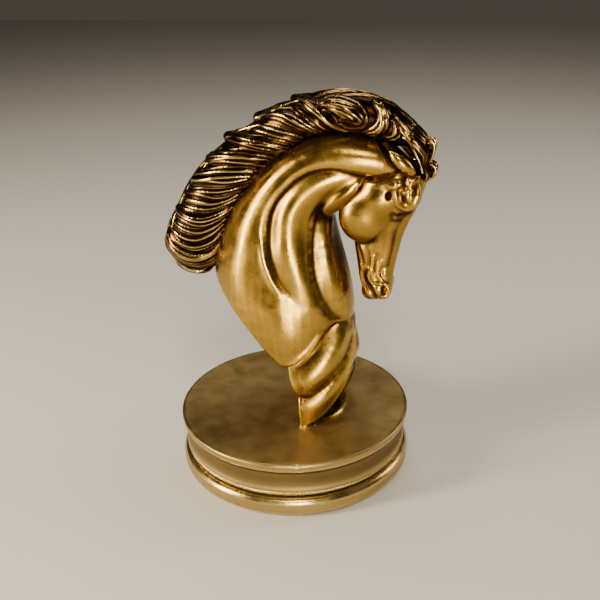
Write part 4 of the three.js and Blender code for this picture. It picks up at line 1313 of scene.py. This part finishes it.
# %% Shading helpers
def noise_node(material, scale, detail, rough=0.5):
    """Smooth noise, fixed to the piece."""
    nodes, links = material.node_tree.nodes, material.node_tree.links
    place = nodes.new("ShaderNodeTexCoord")
    noise = nodes.new("ShaderNodeTexNoise")
    noise.inputs["Scale"].default_value = scale
    noise.inputs["Detail"].default_value = detail
    noise.inputs["Roughness"].default_value = rough
    links.new(place.outputs["Object"], noise.inputs["Vector"])
    return noise.outputs["Fac"]


def span_node(material, source, low, high, to_low, to_high):
    """Carries a number from one range into another, and keeps it inside that."""
    node = material.node_tree.nodes.new("ShaderNodeMapRange")
    for socket, value in zip(("From Min", "From Max", "To Min", "To Max"), (low, high, to_low, to_high)):
        node.inputs[socket].default_value = value
    material.node_tree.links.new(source, node.inputs["Value"])
    return node.outputs["Result"]


def sum_node(material, a, b):
    node = material.node_tree.nodes.new("ShaderNodeMath")
    node.operation = "ADD"
    material.node_tree.links.new(a, node.inputs[0])
    material.node_tree.links.new(b, node.inputs[1])
    return node.outputs[0]


def tone(material, source, tones):
    """Colours the material by a number, through a ramp of (place, colour)."""
    ramp = material.node_tree.nodes.new("ShaderNodeValToRGB")
    elements = ramp.color_ramp.elements
    while len(elements) < len(tones):
        elements.new(0.5)
    for element, (where, colour) in zip(elements, tones):
        element.position = where
        element.color = (*colour, 1)
    shader = material.node_tree.nodes["Principled BSDF"]
    material.node_tree.links.new(source, ramp.inputs["Fac"])
    material.node_tree.links.new(ramp.outputs["Color"], shader.inputs["Base Color"])


def bump(material, source, height):
    """Roughens the surface by a number; height is in mm."""
    node = material.node_tree.nodes.new("ShaderNodeBump")
    node.inputs["Strength"].default_value = 1
    node.inputs["Distance"].default_value = height * MM
    shader = material.node_tree.nodes["Principled BSDF"]
    material.node_tree.links.new(source, node.inputs["Height"])
    material.node_tree.links.new(node.outputs["Normal"], shader.inputs["Normal"])


print("noise, range, sum, tone and bump helpers are ready")

# %% [markdown]
# ## Worn brass
#
# Antiqued metal is painted dark and wiped, so the dark stays where a cloth can't reach. Every sculpted
# piece knows how hollow it is at each point, and that number also carries the shade painted on its pits,
# creases and seams. That number, roughened by noise, runs through a ramp from near-black brown in the
# hollows, through the metal's own colour, to a rubbed bright tone on the ridges; on the base that bright
# tone is partly a painted highlight along the edges.
# Hollows are also duller, and on the base the ridges are buffed smoother. A finer noise gives the grain of
# the casting.

# %% Worn metal
BLOTCH_SCALE = 90
SMEAR_SCALE = 160
SMEAR = (-0.07, 0.09)
DULL_BELOW = 0.45
DULLNESS = 0.3
BUFFED_FROM = (0.54, 0.72)
GRAIN_HEIGHT = 0.03


def worn_metal(name, tones, hollow_span, roughness, grain_size, blotch, buffed=0.0):
    """Metal toned by "hollow", hollow first. buffed is how much smoother its ridges are than its flats."""
    material = plain_material(name, tones[-1][1], roughness)
    shader = material.node_tree.nodes["Principled BSDF"]
    shader.inputs["Metallic"].default_value = 1
    relief = material.node_tree.nodes.new("ShaderNodeAttribute")
    relief.attribute_name = "hollow"
    raised = span_node(material, relief.outputs["Fac"], hollow_span, -hollow_span, 0, 1)
    blotches = span_node(material, noise_node(material, BLOTCH_SCALE, 5, 0.55), 0.3, 0.7, -blotch, blotch)
    wiped = sum_node(material, raised, blotches)
    tone(material, wiped, tones)
    smears = span_node(material, noise_node(material, SMEAR_SCALE, 4, 0.55), 0.3, 0.7,
                       roughness + SMEAR[0], roughness + SMEAR[1])
    dull = span_node(material, wiped, 0, DULL_BELOW, DULLNESS, 0)
    smooth = span_node(material, wiped, *BUFFED_FROM, 0, -buffed)
    gloss = sum_node(material, sum_node(material, smears, dull), smooth)
    material.node_tree.links.new(gloss, shader.inputs["Roughness"])
    bump(material, noise_node(material, 1 / (grain_size * MM), 3, 0.6), GRAIN_HEIGHT)
    return material


GOLD_TONES = [(0.0, (0.016, 0.006, 0.0015)), (0.25, (0.1, 0.045, 0.008)), (0.45, (0.3, 0.17, 0.028)),
              (0.6, (0.44, 0.265, 0.042)), (1.0, (0.74, 0.5, 0.1))]
HAIR_TONES = [(0.0, (0.004, 0.002, 0.0012)), (0.5, (0.016, 0.007, 0.003)), (0.68, (0.08, 0.04, 0.012)),
              (0.82, (0.36, 0.225, 0.06)), (1.0, (0.76, 0.54, 0.17))]
# On the base the bright top tone is partly rubbed wear and partly a painted highlight along the lip, bead and
# flange edges.
BRONZE_TONES = [(0.0, (0.025, 0.012, 0.004)), (0.36, (0.19, 0.125, 0.045)), (0.52, (0.385, 0.27, 0.105)),
                (0.7, (0.44, 0.31, 0.105)), (1.0, (0.72, 0.53, 0.19))]
gold = worn_metal("antiqued gold", GOLD_TONES, 0.42, 0.25, 0.35, blotch=0.08)
dark_hair = worn_metal("dark rubbed hair", HAIR_TONES, 0.2, 0.2, 0.5, blotch=0.12)
bronze = worn_metal("dull bronze", BRONZE_TONES, 0.3, 0.5, 0.4, blotch=0.02, buffed=0.26)
for metal, pieces in ((gold, (neck_piece, chest_piece, head_piece, *ear_pieces)),
                      (dark_hair, (mane_piece, lock_piece)), (bronze, (drum, bead, flange))):
    for piece in pieces:
        piece.data.materials.append(metal)
    print(metal.name, "on", len(pieces), "pieces")

# %% [markdown]
# ## Zinc plate
#
# The stud, nut, washers, pins and dowels are hidden in the castings and stay as the CAD model has them.
# Bright zinc plating shows a faint spangle of crystals, which a cell pattern gives at a fine scale.

# %% Zinc plated fixings
def zinc_plate():
    material = plain_material("zinc plate", (0.52, 0.53, 0.55), 0.34)
    nodes, links = material.node_tree.nodes, material.node_tree.links
    nodes["Principled BSDF"].inputs["Metallic"].default_value = 1
    place = nodes.new("ShaderNodeTexCoord")
    spangle = nodes.new("ShaderNodeTexVoronoi")
    spangle.inputs["Scale"].default_value = 900
    links.new(place.outputs["Object"], spangle.inputs["Vector"])
    tone(material, spangle.outputs["Color"], [(0, (0.42, 0.43, 0.45)), (1, (0.66, 0.67, 0.68))])
    return material


zinc = zinc_plate()
fixings = [row["node"] for row in frame["record"]["subparts"] if row["material_slot"] == "zinc_steel"]
for name in fixings:
    frame["nodes"][name].data.materials.clear()
    frame["nodes"][name].data.materials.append(zinc)
print(len(fixings), "plated fixings")

# %% [markdown]
# ## Baize
#
# The pad under the base is dark green felt. It has no shine of its own but a soft glow at its edge, where
# the fibres stand up. Real fibres would never be seen under a base, so a very fine noise stands for them.

# %% Baize
baize = plain_material("green baize", (0.02, 0.035, 0.024), 0.95)
baize.node_tree.nodes["Principled BSDF"].inputs["Sheen Weight"].default_value = 0.5
fibres = noise_node(baize, 2500, 4)
tone(baize, fibres, [(0, (0.008, 0.016, 0.01)), (1, (0.045, 0.075, 0.05))])
bump(baize, fibres, 0.1)
felt.data.materials.append(baize)
print("felt is", round(2 * felt_radius, 1), "mm across")
